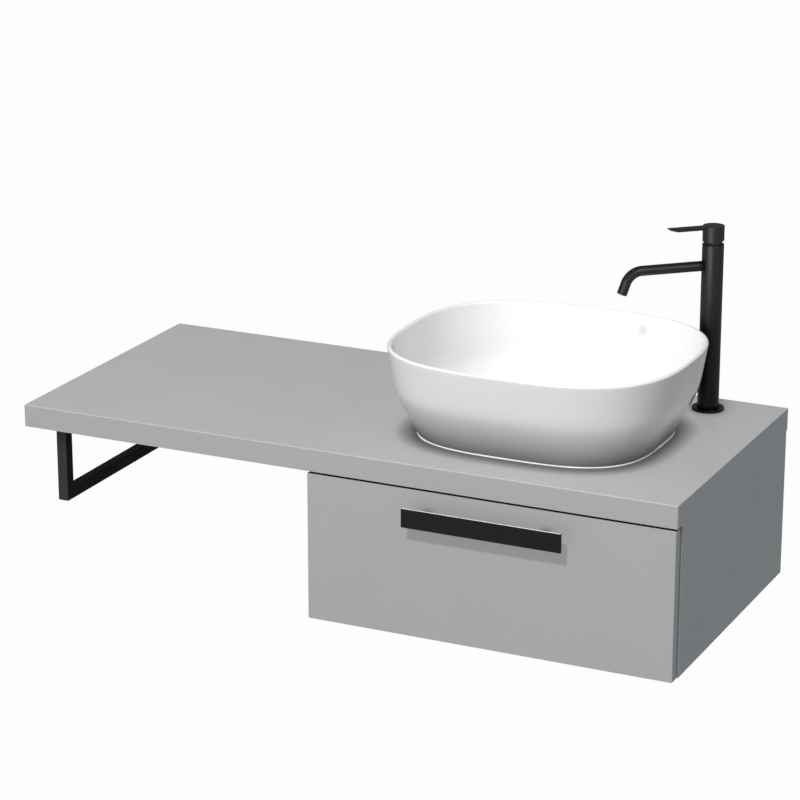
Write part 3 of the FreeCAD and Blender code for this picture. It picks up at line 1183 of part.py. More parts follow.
def make_lever():
    """Cap with a flat blade, clamped to the stem by a grub screw at the back."""
    top = float(TOP_Z + size["cap_height"])
    low = float(COLUMN_HIGH + size["cap_gap"])
    outer = float(size["column_radius"])
    inner = outer - float(size["cap_wall"])
    ceiling = top - 4
    boss_radius = 8
    boss_high = 9
    stem_half = 4.0
    grub_radius = 2.0
    grub_length = 4.0
    axis = Vector(float(TAP_X), float(TAP_Y), low)
    cap = Part.makeCylinder(outer, top - low, axis)
    cap = cap.cut(Part.makeCylinder(inner, ceiling - low, axis))
    boss = Part.makeCylinder(boss_radius, boss_high, Vector(axis.x, axis.y, ceiling - boss_high + 0.5))
    half = float(size["lever_width"]) / 2
    thick = float(size["lever_thick"])
    reach = float(size["lever_reach"])
    bevel = 14.0                 # the blade's underside rises to the tip over this length
    profile = Part.makePolygon([
        tap_point(inner - 1, -half, top),
        tap_point(reach, -half, top),
        tap_point(reach - 1, -half, top - 1.5),
        tap_point(reach - bevel, -half, top - thick),
        tap_point(inner - 1, -half, top - thick),
        tap_point(inner - 1, -half, top),
    ])
    across = tap_point(0, 1, 0) - tap_point(0, 0, 0)
    blade = Part.Face(profile).extrude(across * (2 * half))
    slope = math.atan2(float(size["cap_rear_cut"]), 2 * outer)
    slant = Part.makeBox(4 * outer, 4 * outer, 10, Vector(-2 * outer, -2 * outer, -10))
    slant.Placement = Placement(Vector(axis.x, axis.y, low), TAP_TURN) * Placement(
        Vector(outer, 0, 0), Rotation(Vector(0, 1, 0), math.degrees(slope))) * Placement(
        Vector(-outer, 0, 0), Rotation())
    stem_socket = turned_box((-stem_half, stem_half), (-stem_half, stem_half), (ceiling - 10, ceiling - 1))
    grub_z = ceiling - 4.5
    grub_hole = Part.makeCylinder(grub_radius, outer + 2, tap_point(-outer - 2, 0, grub_z), LEVER_DIRECTION)
    handle = cap.fuse([boss, blade]).cut(slant).cut(stem_socket).cut(grub_hole)
    keep("lever_handle", feature("handle_body", handle.removeSplitter()))
    grub = Part.makeCylinder(grub_radius, grub_length, tap_point(-boss_radius, 0, grub_z), LEVER_DIRECTION)
    driver_slot = turned_box((-9, -6), (-0.6, 0.6), (grub_z - 0.6, grub_z + 0.6))
    keep("grub_screw", feature("grub_body", grub.cut(driver_slot)))


def make_tap_fixings():
    """Hollow threaded shank through the worktop, with a rubber ring and a nut below it."""
    radius = size["shank_radius"]
    shank_wall = 2
    gasket_radius = 24
    gasket_thick = 3
    nut_thick = 10
    nut_across_corners = 42
    nut_low = UNDER_Z - gasket_thick - nut_thick
    shank_low = nut_low - 15
    shank = washer_outline(radius - shank_wall, radius, TAP_BASE + SHANK_GRIP - shank_low)
    keep("tap_shank", turned("shank_turning", shank, TAP_X, TAP_Y, shank_low))
    gasket = washer_outline(radius + WASHER_PLAY, gasket_radius, gasket_thick)
    keep("shank_gasket", turned("shank_gasket_ring", gasket, TAP_X, TAP_Y, UNDER_Z - gasket_thick))
    keep("shank_nut", padded("shank_hexagon", hexagon(nut_across_corners), nut_thick, TAP_X, TAP_Y,
                             nut_low, radius + THREAD_PLAY))


def check_document():
    """Stop if any object failed or any sub-part has no valid solid."""
    for thing in doc.Objects:
        if "Invalid" in thing.State or "Error" in thing.State:
            raise RuntimeError(f"{thing.Name} failed: {thing.State}")
    labels = [thing.Label for thing in nodes]
    if len(set(labels)) != len(labels):
        raise RuntimeError("two sub-parts share a label")
    for thing in nodes:
        if thing.Shape.isNull() or not thing.Shape.isValid() or not thing.Shape.Solids:
            raise RuntimeError(f"{thing.Label} has no valid solid")


def write_steps():
    os.makedirs("parts", exist_ok=True)
    for thing in nodes:
        thing.Shape.exportStep(f"parts/{thing.Label}.step")


make_worktop()
make_carcass()
make_hangers()
make_runners()
make_drawer()
make_pull()
make_bracket()
make_basin()
make_waste()
make_trap()
make_column()
make_aerator(*make_spout())
make_cartridge()
make_lever()
make_tap_fixings()
doc.recompute()
check_document()
write_steps()
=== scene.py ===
"""Wall-hung washstand: finer meshes, finishes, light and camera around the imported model.

Lengths are in metres, in the part's own frame: +X to the right along the wall, +Y into the wall, +Z up.
"""

import json
import math

import bmesh
import bpy
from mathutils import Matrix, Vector


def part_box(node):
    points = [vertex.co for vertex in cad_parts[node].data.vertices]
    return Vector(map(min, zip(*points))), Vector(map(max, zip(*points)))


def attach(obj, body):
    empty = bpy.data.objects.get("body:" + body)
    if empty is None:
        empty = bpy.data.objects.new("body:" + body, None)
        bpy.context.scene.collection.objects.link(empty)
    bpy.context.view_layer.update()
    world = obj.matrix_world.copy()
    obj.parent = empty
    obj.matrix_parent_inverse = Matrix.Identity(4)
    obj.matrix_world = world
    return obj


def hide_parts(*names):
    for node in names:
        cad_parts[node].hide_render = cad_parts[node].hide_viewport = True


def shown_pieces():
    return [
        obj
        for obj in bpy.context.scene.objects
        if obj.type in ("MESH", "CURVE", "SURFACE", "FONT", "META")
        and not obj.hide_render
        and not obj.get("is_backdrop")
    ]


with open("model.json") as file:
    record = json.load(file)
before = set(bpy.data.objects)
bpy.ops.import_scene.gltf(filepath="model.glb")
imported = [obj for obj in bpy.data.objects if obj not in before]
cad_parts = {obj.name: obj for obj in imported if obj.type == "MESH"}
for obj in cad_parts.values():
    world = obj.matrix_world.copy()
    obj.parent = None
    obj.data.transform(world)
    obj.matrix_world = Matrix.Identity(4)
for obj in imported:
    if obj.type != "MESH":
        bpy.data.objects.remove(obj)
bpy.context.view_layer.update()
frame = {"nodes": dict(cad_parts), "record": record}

MM = 0.001
UP = Vector((0, 0, 1))
INTO_WALL = Vector((0, 1, 0))
WHITE = (1.0, 1.0, 1.0)

record = frame["record"]
cad_nodes = frame["nodes"]
SLOT_OF = {part["node"]: part["material_slot"] for part in record["subparts"]}
BODY_OF = {node: body for body, members in record["behaviour"]["bodies"].items() for node in members}


# ---------------------------------------------------------------- finishes
MOTTLE_DETAIL = 3.0
NOISE_SPAN = (0.3, 0.7)     # where nearly all the values of a noise lie
SHADE_SAMPLES = 8


class Finish:
    """A procedural material: base colour with a mottle, roughness with a spread, and a fine relief."""

    def __init__(self, name, dark, light, roughness, metallic=0.0, mottle_scale=8.0):
        self.material = bpy.data.materials.new(name)
        self.material.use_nodes = True
        self.material.diffuse_color = (*light, 1.0)
        self.nodes = self.material.node_tree.nodes
        self.links = self.material.node_tree.links
        self.shader = self.nodes["Principled BSDF"]
        self.shader.inputs["Metallic"].default_value = metallic
        self.place = self.nodes.new("ShaderNodeTexCoord").outputs["Object"]
        mottle = self.noise(mottle_scale, MOTTLE_DETAIL)
        colour = self.nodes.new("ShaderNodeMix")
        colour.data_type = "RGBA"
        colour.inputs["A"].default_value = (*dark, 1.0)
        colour.inputs["B"].default_value = (*light, 1.0)
        self.links.new(mottle, colour.inputs["Factor"])
        self.links.new(colour.outputs["Result"], self.shader.inputs["Base Color"])
        self.links.new(self.spread(mottle, *roughness), self.shader.inputs["Roughness"])
        self.relief_so_far = None

    def noise(self, scale, detail=2.0, stretch=(1, 1, 1)):
        """A noise over the object's own coordinates, with cells of about 1/scale metres."""
        mapping = self.nodes.new("ShaderNodeMapping")
        mapping.inputs["Scale"].default_value = stretch
        texture = self.nodes.new("ShaderNodeTexNoise")
        texture.inputs["Scale"].default_value = scale
        texture.inputs["Detail"].default_value = detail
        self.links.new(self.place, mapping.inputs["Vector"])
        self.links.new(mapping.outputs["Vector"], texture.inputs["Vector"])
        return texture.outputs["Fac"]

    def spread(self, noise, low, high):
        """A noise stretched over low to high."""
        spread = self.nodes.new("ShaderNodeMapRange")
        spread.inputs["From Min"].default_value = NOISE_SPAN[0]
        spread.inputs["From Max"].default_value = NOISE_SPAN[1]
        spread.inputs["To Min"].default_value = low
        spread.inputs["To Max"].default_value = high
        self.links.new(noise, spread.inputs["Value"])
        return spread.outputs["Result"]

    def relief(self, scale, height, strength, stretch=(1, 1, 1)):
        """Adds bumps of a height in metres, on top of any relief that is already there."""
        bump = self.nodes.new("ShaderNodeBump")
        bump.inputs["Distance"].default_value = height
        bump.inputs["Strength"].default_value = strength
        self.links.new(self.noise(scale, stretch=stretch), bump.inputs["Height"])
        if self.relief_so_far is not None:
            self.links.new(self.relief_so_far, bump.inputs["Normal"])
        self.relief_so_far = bump.outputs["Normal"]
        self.links.new(self.relief_so_far, self.shader.inputs["Normal"])
        return self

    def paint_contact_shade_and_light(self, reach, nearest, full_at=0.0):
        """Multiplies the colour by nearest where no more than full_at of the view within reach is open.

        Below 1 the factor paints shade on what lies close to other surfaces, and above 1 it paints light
        there.
        """
        around = self.nodes.new("ShaderNodeAmbientOcclusion")
        around.inputs["Distance"].default_value = reach
        around.samples = SHADE_SAMPLES
        factor = self.nodes.new("ShaderNodeMapRange")
        factor.inputs["From Min"].default_value = full_at
        factor.inputs["To Min"].default_value = nearest
        self.links.new(around.outputs["AO"], factor.inputs["Value"])
        shaded = self.nodes.new("ShaderNodeMix")
        shaded.data_type = "RGBA"
        shaded.blend_type = "MULTIPLY"
        shaded.inputs["Factor"].default_value = 1.0
        base = self.shader.inputs["Base Color"]
        self.links.new(base.links[0].from_socket, shaded.inputs["A"])
        self.links.new(factor.outputs["Result"], shaded.inputs["B"])
        self.links.new(shaded.outputs["Result"], base)
        return self

    def set(self, **values):
        """Constants straight on the shader's sockets, by name with _ for a space."""
        for name, value in values.items():
            self.shader.inputs[name.replace("_", " ")].default_value = value
        return self


def grey_lacquer(name, reach, nearest, full_at):
    """Satin lacquer sprayed on fibreboard, with a faint orange peel."""
    finish = Finish(name, dark=(0.392, 0.392, 0.387), light=(0.412, 0.412, 0.406), roughness=(0.36, 0.46))
    finish.relief(scale=160, height=0.02 * MM, strength=0.5)
    finish.relief(scale=2200, height=0.006 * MM, strength=0.4)
    # painted shade where other surfaces lie close, set by each copy's reach, nearest and full_at
    finish.paint_contact_shade_and_light(reach, nearest, full_at)
    return finish.set(Specular_IOR_Level=0.45)


def carcass_board():
    """Grey melamine-faced board with a fine pressed grain."""
    finish = Finish("grey melamine board", dark=(0.375, 0.375, 0.370), light=(0.415, 0.415, 0.410),
                    roughness=(0.48, 0.62))
    return finish.relief(scale=900, height=0.02 * MM, strength=0.5, stretch=(0.25, 1, 1))


def drawer_board():
    """Light grey melamine-faced board of the drawer box, pressed with a linen grain."""
    finish = Finish("light melamine board", dark=(0.56, 0.555, 0.54), light=(0.62, 0.615, 0.60),
                    roughness=(0.45, 0.60))
    finish.relief(scale=1400, height=0.03 * MM, strength=0.5, stretch=(0.15, 1, 1))
    return finish.relief(scale=1400, height=0.03 * MM, strength=0.5, stretch=(1, 0.15, 1))


def zinc_steel():
    """Pressed steel with a bright zinc coat, its crystals just visible."""
    finish = Finish("zinc-plated steel", dark=(0.46, 0.48, 0.50), light=(0.66, 0.68, 0.70),
                    roughness=(0.24, 0.42), metallic=1.0, mottle_scale=90)
    return finish.relief(scale=700, height=0.01 * MM, strength=0.5)


def black_metal(name, dark, light, gloss):
    """Matt black powder coat: soft, slightly grainy and just not black."""
    finish = Finish(name, dark, light, roughness=(0.42, 0.54))
    finish.relief(scale=420, height=0.02 * MM, strength=0.5)
    finish.relief(scale=2600, height=0.012 * MM, strength=0.5)
    # painted shade where other surfaces lie close
    finish.paint_contact_shade_and_light(reach=60 * MM, nearest=0.05, full_at=0.2)
    return finish.set(Specular_IOR_Level=gloss)


def white_ceramic():
    """White glaze: a smooth, wet gloss over a body with the slightest waviness from firing."""
    finish = Finish("white glaze", dark=(0.78, 0.78, 0.77), light=(0.81, 0.81, 0.80),
                    roughness=(0.12, 0.20), mottle_scale=4)
    finish.relief(scale=14, height=0.06 * MM, strength=0.35)
    # painted shade where other surfaces lie close, darkening the glaze towards the foot
    finish.paint_contact_shade_and_light(reach=75 * MM, nearest=0.1)
    return finish.set(Coat_Weight=0.6, Coat_Roughness=0.04, Specular_IOR_Level=0.5)


def white_sealant():
    """Cured silicone drawn along the joint with a wet finger."""
    finish = Finish("white silicone", dark=(0.72, 0.72, 0.71), light=(0.80, 0.80, 0.79),
                    roughness=(0.28, 0.42), mottle_scale=60)
    finish.relief(scale=220, height=0.12 * MM, strength=0.5, stretch=(1, 1, 0.3))
    return finish.set(Subsurface_Weight=0.08, Subsurface_Scale=0.002)


def matt_black_coat(name, nearest=0.05):
    """Electroplated matt black over brass, finer than powder coat."""
    finish = Finish(name, dark=(0.012, 0.012, 0.0125), light=(0.018, 0.018, 0.0185),
                    roughness=(0.34, 0.44), mottle_scale=30)
    finish.relief(scale=3200, height=0.008 * MM, strength=0.5)
    # painted shade where other surfaces lie within reach, such as the tap column low beside the basin;
    # nearest above 1 paints light instead
    finish.paint_contact_shade_and_light(reach=200 * MM, nearest=nearest, full_at=0.35)
    return finish.set(Specular_IOR_Level=0.22)


def black_rubber():
    """Moulded rubber with a dusty bloom."""
    finish = Finish("black rubber", dark=(0.020, 0.020, 0.020), light=(0.040, 0.040, 0.040),
                    roughness=(0.70, 0.86), mottle_scale=120)
    return finish.relief(scale=1500, height=0.03 * MM, strength=0.6)


def turned_metal(name, dark, light):
    """Bare metal with the fine rings that turning leaves along its axis."""
    finish = Finish(name, dark, light, roughness=(0.20, 0.36), metallic=1.0, mottle_scale=70)
    return finish.relief(scale=60, height=0.012 * MM, strength=0.6, stretch=(1, 1, 60))


def moulded_plastic(name, dark, light, roughness):
    """Injection-moulded plastic with a spark-eroded surface."""
    finish = Finish(name, dark, light, roughness, mottle_scale=25)
    finish.relief(scale=1800, height=0.02 * MM, strength=0.5)
    return finish.set(Subsurface_Weight=0.05, Subsurface_Scale=0.003)


FINISHES = {    # by material slot
    # painted shade deep enough to turn narrow gaps black, such as the one under the worktop
    "grey_lacquer": grey_lacquer("grey lacquer", reach=12 * MM, nearest=0.02, full_at=0.5),
    "carcass_board": carcass_board(),
    "drawer_board": drawer_board(),
    "zinc_steel": zinc_steel(),
    "black_metal": black_metal("black powder coat", dark=(0.0105, 0.0105, 0.011),
                               light=(0.0165, 0.0165, 0.017), gloss=0.14),
    "white_ceramic": white_ceramic(),
    "white_sealant": white_sealant(),
    "black_tap": matt_black_coat("matt black tap"),
    "black_waste": matt_black_coat("matt black waste"),
    "rubber": black_rubber(),
    "brass": turned_metal("turned brass", dark=(0.58, 0.43, 0.20), light=(0.80, 0.62, 0.33)),
    "copper": turned_metal("drawn copper", dark=(0.70, 0.36, 0.22), light=(0.86, 0.50, 0.34)),
    "steel_pin": turned_metal("ground steel", dark=(0.52, 0.53, 0.54), light=(0.68, 0.69, 0.70)),
    "grey_plastic": moulded_plastic("grey plastic", dark=(0.30, 0.31, 0.32), light=(0.36, 0.37, 0.38),
                                    roughness=(0.38, 0.50)),
    "white_plastic": moulded_plastic("white polypropylene", dark=(0.76, 0.76, 0.74),
                                     light=(0.82, 0.82, 0.80), roughness=(0.26, 0.38)),
}
# bright metal for the strip on the pull's top edge, which stands in for the highlight there: a painted
# highlight
HIGHLIGHT_STRIP_FINISH = Finish("satin aluminium", dark=(0.66, 0.66, 0.66), light=(0.78, 0.78, 0.78),
                     roughness=(0.42, 0.55), metallic=1.0, mottle_scale=90)
# little painted shade on the sides, so their front edges stay light beside the drawer front
SIDE_LACQUER = grey_lacquer("grey lacquer of the sides", reach=12 * MM, nearest=0.8, full_at=0.0)
FINISH_OF_NODE = {    # where a node differs a little from the rest of its slot, mostly in painted shade and light
    # wider, deeper painted shade: a painted contact shadow on the worktop round the basin's foot
    "worktop": grey_lacquer("grey lacquer of the worktop", reach=34 * MM, nearest=0.1, full_at=0.3),
    "side_left": SIDE_LACQUER,
    "side_right": SIDE_LACQUER,
    # nearest above 1 lifts the colour in the groove under the cap: painted light
    "cartridge_nut": matt_black_coat("matt black under the cap", nearest=1.8),
    # a darker, less glossy copy of the powder coat: painted shade that keeps the bracket's sides near black
    "support_bracket": black_metal("black powder coat of the bracket", dark=(0.0085, 0.0085, 0.009),
                                   light=(0.0120, 0.0120, 0.0125), gloss=0.04),
}


# ---------------------------------------------------------------- mesh tools
LATHE_AROUND = 160
RIBBED_AROUND = 288         # points round a turned solid with ribs
ROUNDING_STEPS = 5
RIB_DEPTH = 0.9 * MM
ON_AXIS = 1e-7              # nearer to its axis than this, a turned outline closes in a pole


def piece_for(nodes, name, mesh):
    """Shows the mesh in place of CAD nodes: same body, same material slot, smooth shading."""
    first = nodes[0]
    piece = bpy.data.objects.new(name, mesh)
    bpy.context.scene.collection.objects.link(piece)
    mesh.shade_smooth()
    mesh.materials.clear()
    mesh.materials.append(FINISH_OF_NODE.get(first, FINISHES[SLOT_OF[first]]).material)
    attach(piece, BODY_OF[first])
    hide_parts(*nodes)
    return piece


def mesh_from(work, name):
    """The finished mesh of a bmesh, with its normals outwards."""
    bmesh.ops.recalc_face_normals(work, faces=work.faces)
    mesh = bpy.data.meshes.new(name)
    work.to_mesh(mesh)
    work.free()
    return mesh


def ring_mesh(name, rings, closed=True):
    """Skin over rings of equally many points, where a ring of one point is a pole.

    A closed skin also joins its last ring to its first.
    """
    work = bmesh.new()
    loops = [[work.verts.new(point) for point in ring] for ring in rings]
    pairs = list(zip(loops, loops[1:]))
    if closed:
        pairs.append((loops[-1], loops[0]))
    for first, second in pairs:
        count = max(len(first), len(second))
        for step in range(count):
            following = (step + 1) % count
            if len(first) == 1:
                work.faces.new((first[0], second[step], second[following]))
            elif len(second) == 1:
                work.faces.new((first[step], second[0], first[following]))
            else:
                work.faces.new((first[step], second[step], second[following], first[following]))
    return mesh_from(work, name)


def rounded_outline(corners):
    """An outline of (outwards, along, corner radius) with its corners rounded, as 2-D points."""
    points = []
    count = len(corners)
    for index, (outwards, along, radius) in enumerate(corners):
        here = Vector((outwards, along))
        if radius == 0:
            points.append(here)
            continue
        before = (Vector(corners[index - 1][:2]) - here).normalized()
        after = (Vector(corners[(index + 1) % count][:2]) - here).normalized()
        half = before.angle(after) / 2
        centre = here + (before + after).normalized() * radius / math.sin(half)
        start = here + before * radius / math.tan(half) - centre
        end = here + after * radius / math.tan(half) - centre
        for step in range(ROUNDING_STEPS + 1):
            points.append(centre + start.slerp(end, step / ROUNDING_STEPS).normalized() * radius)
    return points


def lathe(name, corners, place, axis=UP, around=LATHE_AROUND, ribs=0, rib_span=(0.0, 0.0)):
    """Turned solid about an axis from place. Ribs are shallow flutes round the outside within rib_span."""
    side = axis.orthogonal().normalized()
    across = axis.cross(side)
    outline = rounded_outline(corners)
    widest = max(point.x for point in outline)
    rings = []
    for point in outline:
        centre = place + axis * point.y
        if point.x < ON_AXIS:
            rings.append([centre])
            continue
        fluted = ribs and rib_span[0] <= point.y <= rib_span[1] and point.x > widest - 2 * RIB_DEPTH
        ring = []
        for step in range(around):
            angle = 2 * math.pi * step / around
            radius = point.x
            if fluted:
                radius -= RIB_DEPTH * (0.5 - 0.5 * math.cos(ribs * angle)) ** 2
            ring.append(centre + (side * math.cos(angle) + across * math.sin(angle)) * radius)
        rings.append(ring)
    on_axis = len(rings[0]) == 1
    return ring_mesh(name, rings, closed=not on_axis)


def axis_point(node, z):
    """A point on the upright axis through the middle of a node."""
    low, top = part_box(node)
    return Vector(((low.x + top.x) / 2, (low.y + top.y) / 2, z))


def radius_and_height(node):
    """Of an upright round node."""
    low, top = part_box(node)
    return (top.x - low.x) / 2, top.z - low.z


def turned(node, name, corners, **details):
    """Shows an upright turned solid, built up from the node's lower plane, in place of the node."""
    base = axis_point(node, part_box(node)[0].z)
    return piece_for([node], name, lathe(name, corners, base, **details))


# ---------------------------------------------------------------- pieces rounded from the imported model
EDGE_ROUNDING = {
    "worktop": 1.8 * MM,
    "side_left": 0.8 * MM,
    "side_right": 1.2 * MM,
    "drawer_front": 1.0 * MM,
    "bottom_panel": 0.5 * MM,
    "front_rail": 0.5 * MM,
    "hanging_rail": 0.5 * MM,
    "drawer_subfront": 0.6 * MM,
    "drawer_side_left": 0.6 * MM,
    "drawer_side_right": 0.6 * MM,
    "drawer_back_left": 0.6 * MM,
    "drawer_back_right": 0.6 * MM,
    "channel_left": 0.6 * MM,
    "channel_right": 0.6 * MM,
    "channel_front": 0.6 * MM,
    "drawer_bottom": 0.3 * MM,
    "pull_bar": 0.6 * MM,
    "support_bracket": 1.3 * MM,
    "lever_handle": 0.5 * MM,
}
SMALL_ROUNDING = 0.15 * MM
WIDE_SEGMENTS = 3
SMALL_SEGMENTS = 2
LONG_EDGE = 10 * MM
SAME_POINT = 0.002 * MM
SAME_PLANE = 0.1 * MM
FLAT_WITHIN = 0.3          # degrees between two faces that become one
HARD_ANGLE = 28.0          # degrees between two faces from which their edge is rounded
STILL_SHARP = 60.0         # degrees between two faces that no rounding has come between
FLUSH_AT = {"worktop": 0, "side_left": 1, "side_right": 1}     # 0 for the node's lower plane, 1 for its top


def rounded_off(work, edges, width, segments):
    """Rounds edges of a bmesh, less where they run short."""
    bmesh.ops.bevel(work, geom=edges, offset=width, offset_type="OFFSET", segments=segments, profile=0.5,
                    affect="EDGES", clamp_overlap=True, loop_slide=True)


def plain_mesh(node):
    """A bmesh of a CAD node with its corners merged and its flat faces whole."""
    mesh = cad_nodes[node].data.copy()
    for name in ("custom_normal", "sharp_edge", "sharp_face"):
        if name in mesh.attributes:
            mesh.attributes.remove(mesh.attributes[name])
    work = bmesh.new()
    work.from_mesh(mesh)
    bpy.data.meshes.remove(mesh)
    bmesh.ops.remove_doubles(work, verts=work.verts, dist=SAME_POINT)
    bmesh.ops.dissolve_limit(work, angle_limit=math.radians(FLAT_WITHIN),
                             verts=work.verts, edges=work.edges)
    return work


def softened(node, width, segments):
    """A finer copy of a CAD node, with every hard edge rounded and nothing outside the node's own box.

    Long edges and those that meet them take the full width, and the rims of holes take the small one.
    The edges in the plane where the node is joined flush to another stay sharp.
    """
    low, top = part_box(node)
    work = plain_mesh(node)
    hard = [edge for edge in work.edges
            if edge.is_manifold and edge.calc_face_angle() > math.radians(HARD_ANGLE)]
    corners = {vertex for edge in hard if edge.calc_length() > LONG_EDGE for vertex in edge.verts}
    outline = [edge for edge in hard if corners.intersection(edge.verts)]
    rims = [edge for edge in hard if not corners.intersection(edge.verts)]
    if node in FLUSH_AT:
        joint = (low, top)[FLUSH_AT[node]].z
        outline = [edge for edge in outline
                   if any(abs(vertex.co.z - joint) >= SAME_PLANE for vertex in edge.verts)]
    rounded_off(work, outline, width, segments)
    rounded_off(work, [edge for edge in rims if edge.is_valid], SMALL_ROUNDING, segments)
    for edge in work.edges:
        edge.smooth = not edge.is_manifold or edge.calc_face_angle() < math.radians(STILL_SHARP)
    for vertex in work.verts:
        vertex.co = [min(max(value, least), most) for value, least, most in zip(vertex.co, low, top)]
    piece = piece_for([node], node + "_finished", mesh_from(work, node + "_finished"))
    weigh = piece.modifiers.new("weighted normals", "WEIGHTED_NORMAL")
    weigh.keep_sharp = True
    return piece


# ---------------------------------------------------------------- basin
BASIN_LOW, BASIN_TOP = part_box("basin")
BASIN_AXIS = (BASIN_LOW + BASIN_TOP) / 2
BASIN_HEIGHT = BASIN_TOP.z - BASIN_LOW.z
RIM_HALF = ((BASIN_TOP.x - BASIN_LOW.x) / 2, (BASIN_TOP.y - BASIN_LOW.y) / 2)
FOOT_HALF = (188.1 * MM, 159.6 * MM)
RIM_POWER = 2.88
FOOT_POWER = 3.15
WALL_FOOT_SLOPE = 1.55     # how fast the wall flares just above the foot
WALL_RIM_SLOPE = 0.47      # and just below the rim, both against the mean flare
WALL_BLEND = 0.05          # softness of the change between the two slopes
WALL_THICK = 7 * MM
BOWL_FLOOR = 26 * MM       # above the worktop
BOWL_CORNER = 32 * MM
FLOOR_THICK = 12 * MM
FLOOR_FALL = 2.5 * MM      # the bowl's floor falls this much towards the waste
HOLLOW_TOP = BOWL_FLOOR - FLOOR_THICK
HOLLOW_INSET = 16.5 * MM   # hollow's top edge from the outside
HOLLOW_CHAMFER = 2 * MM
FOOT_THICK = 11 * MM
FOOT_EASE = 1 * MM
FOOT_ROUND = 1.2 * MM
FOOT_STEPS = 4
WALL_STEPS = 26
RIM_STEPS = 12
CORNER_STEPS = 12
DRAIN_RADIUS = 22.5 * MM
RECESS_RADIUS = 33 * MM
RECESS_DEPTH = 3 * MM
SEAT_PROFILE = (           # depth below the bowl's floor and radius, from the floor into the drain
    (0, RECESS_RADIUS + 1.5 * MM),
    (0.4 * MM, RECESS_RADIUS + 0.4 * MM),
    (1.5 * MM, RECESS_RADIUS),
    (RECESS_DEPTH, RECESS_RADIUS - 0.3 * MM),
    (RECESS_DEPTH, DRAIN_RADIUS + 1 * MM),
    (RECESS_DEPTH + 1 * MM, DRAIN_RADIUS),
)
UNDER_SHARES = (0, 0.2, 0.4, 0.6, 0.8, 0.95, 1)                  # drain to the hollow's edge
FLOOR_SHARES = (0.1, 0.25, 0.4, 0.55, 0.7, 0.85, 0.95, 1)        # bowl's corner to the seat
BASIN_AROUND = 288


def flare(share):
    """How far the wall has moved from foot to rim at a share of the height, from 0 to 1."""
    lower = WALL_FOOT_SLOPE * share
    upper = 1 - WALL_RIM_SLOPE * (1 - share)
    return 0.5 * (lower + upper - math.sqrt((lower - upper) ** 2 + 4 * WALL_BLEND ** 2))


def basin_ring(height, inset):
    """Superellipse outline of the basin at a height above its foot, moved inwards by inset."""
    share = (flare(height / BASIN_HEIGHT) - flare(0)) / (flare(1) - flare(0))
    half_x = FOOT_HALF[0] + share * (RIM_HALF[0] - FOOT_HALF[0]) - inset
    half_y = FOOT_HALF[1] + share * (RIM_HALF[1] - FOOT_HALF[1]) - inset
    power = FOOT_POWER + share * (RIM_POWER - FOOT_POWER)
    ring = []
    for step in range(BASIN_AROUND):
        angle = 2 * math.pi * step / BASIN_AROUND
        reach = (abs(math.cos(angle)) ** power + abs(math.sin(angle)) ** power) ** (-1 / power)
        ring.append(Vector((BASIN_AXIS.x + half_x * reach * math.cos(angle),
                            BASIN_AXIS.y + half_y * reach * math.sin(angle),
                            BASIN_LOW.z + height)))
    return ring


def drain_ring(height, radius):
    """Circle round the waste's axis."""
    ring = []
    for step in range(BASIN_AROUND):
        angle = 2 * math.pi * step / BASIN_AROUND
        ring.append(Vector((BASIN_AXIS.x + radius * math.cos(angle),
                            BASIN_AXIS.y + radius * math.sin(angle),
                            BASIN_LOW.z + height)))
    return ring


def between(first, second, share):
    """A ring part of the way from one ring to another."""
    return [start.lerp(end, share) for start, end in zip(first, second)]


def basin_path():
    """(height, inset) pairs from the hollow under the foot up the outside and down the bowl."""
    path = [
        (HOLLOW_TOP - HOLLOW_CHAMFER, HOLLOW_INSET - HOLLOW_CHAMFER),
        (FOOT_EASE, FOOT_THICK),
        (0, FOOT_THICK - FOOT_EASE),
    ]
    for step in range(FOOT_STEPS + 1):
        angle = math.radians(90 * step / FOOT_STEPS)
        path.append((FOOT_ROUND * (1 - math.cos(angle)), FOOT_ROUND * (1 - math.sin(angle))))
    rim_round = WALL_THICK / 2
    rim_start = BASIN_HEIGHT - rim_round
    for step in range(1, WALL_STEPS + 1):
        path.append((FOOT_ROUND + (rim_start - FOOT_ROUND) * step / WALL_STEPS, 0))
    for step in range(1, RIM_STEPS):
        angle = math.pi * step / RIM_STEPS
        path.append((rim_start + rim_round * math.sin(angle), rim_round * (1 - math.cos(angle))))
    corner_start = BOWL_FLOOR + BOWL_CORNER
    for step in range(WALL_STEPS):
        path.append((rim_start + (corner_start - rim_start) * step / WALL_STEPS, WALL_THICK))
    corner_drop = BOWL_CORNER - FLOOR_FALL
    for step in range(CORNER_STEPS + 1):
        angle = math.radians(90 * step / CORNER_STEPS)
        path.append((corner_start - corner_drop * math.sin(angle),
                     WALL_THICK + BOWL_CORNER * (1 - math.cos(angle))))
    return path


def make_basin():
    """Vessel basin as one closed skin: hollow foot, wall, rounded rim, bowl, waste seat and drain."""
    drain_under = drain_ring(HOLLOW_TOP, DRAIN_RADIUS)
    hollow_edge = basin_ring(HOLLOW_TOP, HOLLOW_INSET)
    rings = [between(drain_under, hollow_edge, share) for share in UNDER_SHARES]
    rings += [basin_ring(height, inset) for height, inset in basin_path()]
    floor_edge = rings[-1]
    seat = [drain_ring(BOWL_FLOOR - depth, radius) for depth, radius in SEAT_PROFILE]
    rings += [between(floor_edge, seat[0], share) for share in FLOOR_SHARES]
    rings += seat[1:]
    return piece_for(["basin"], "basin_glazed", ring_mesh("basin_glazed", rings))


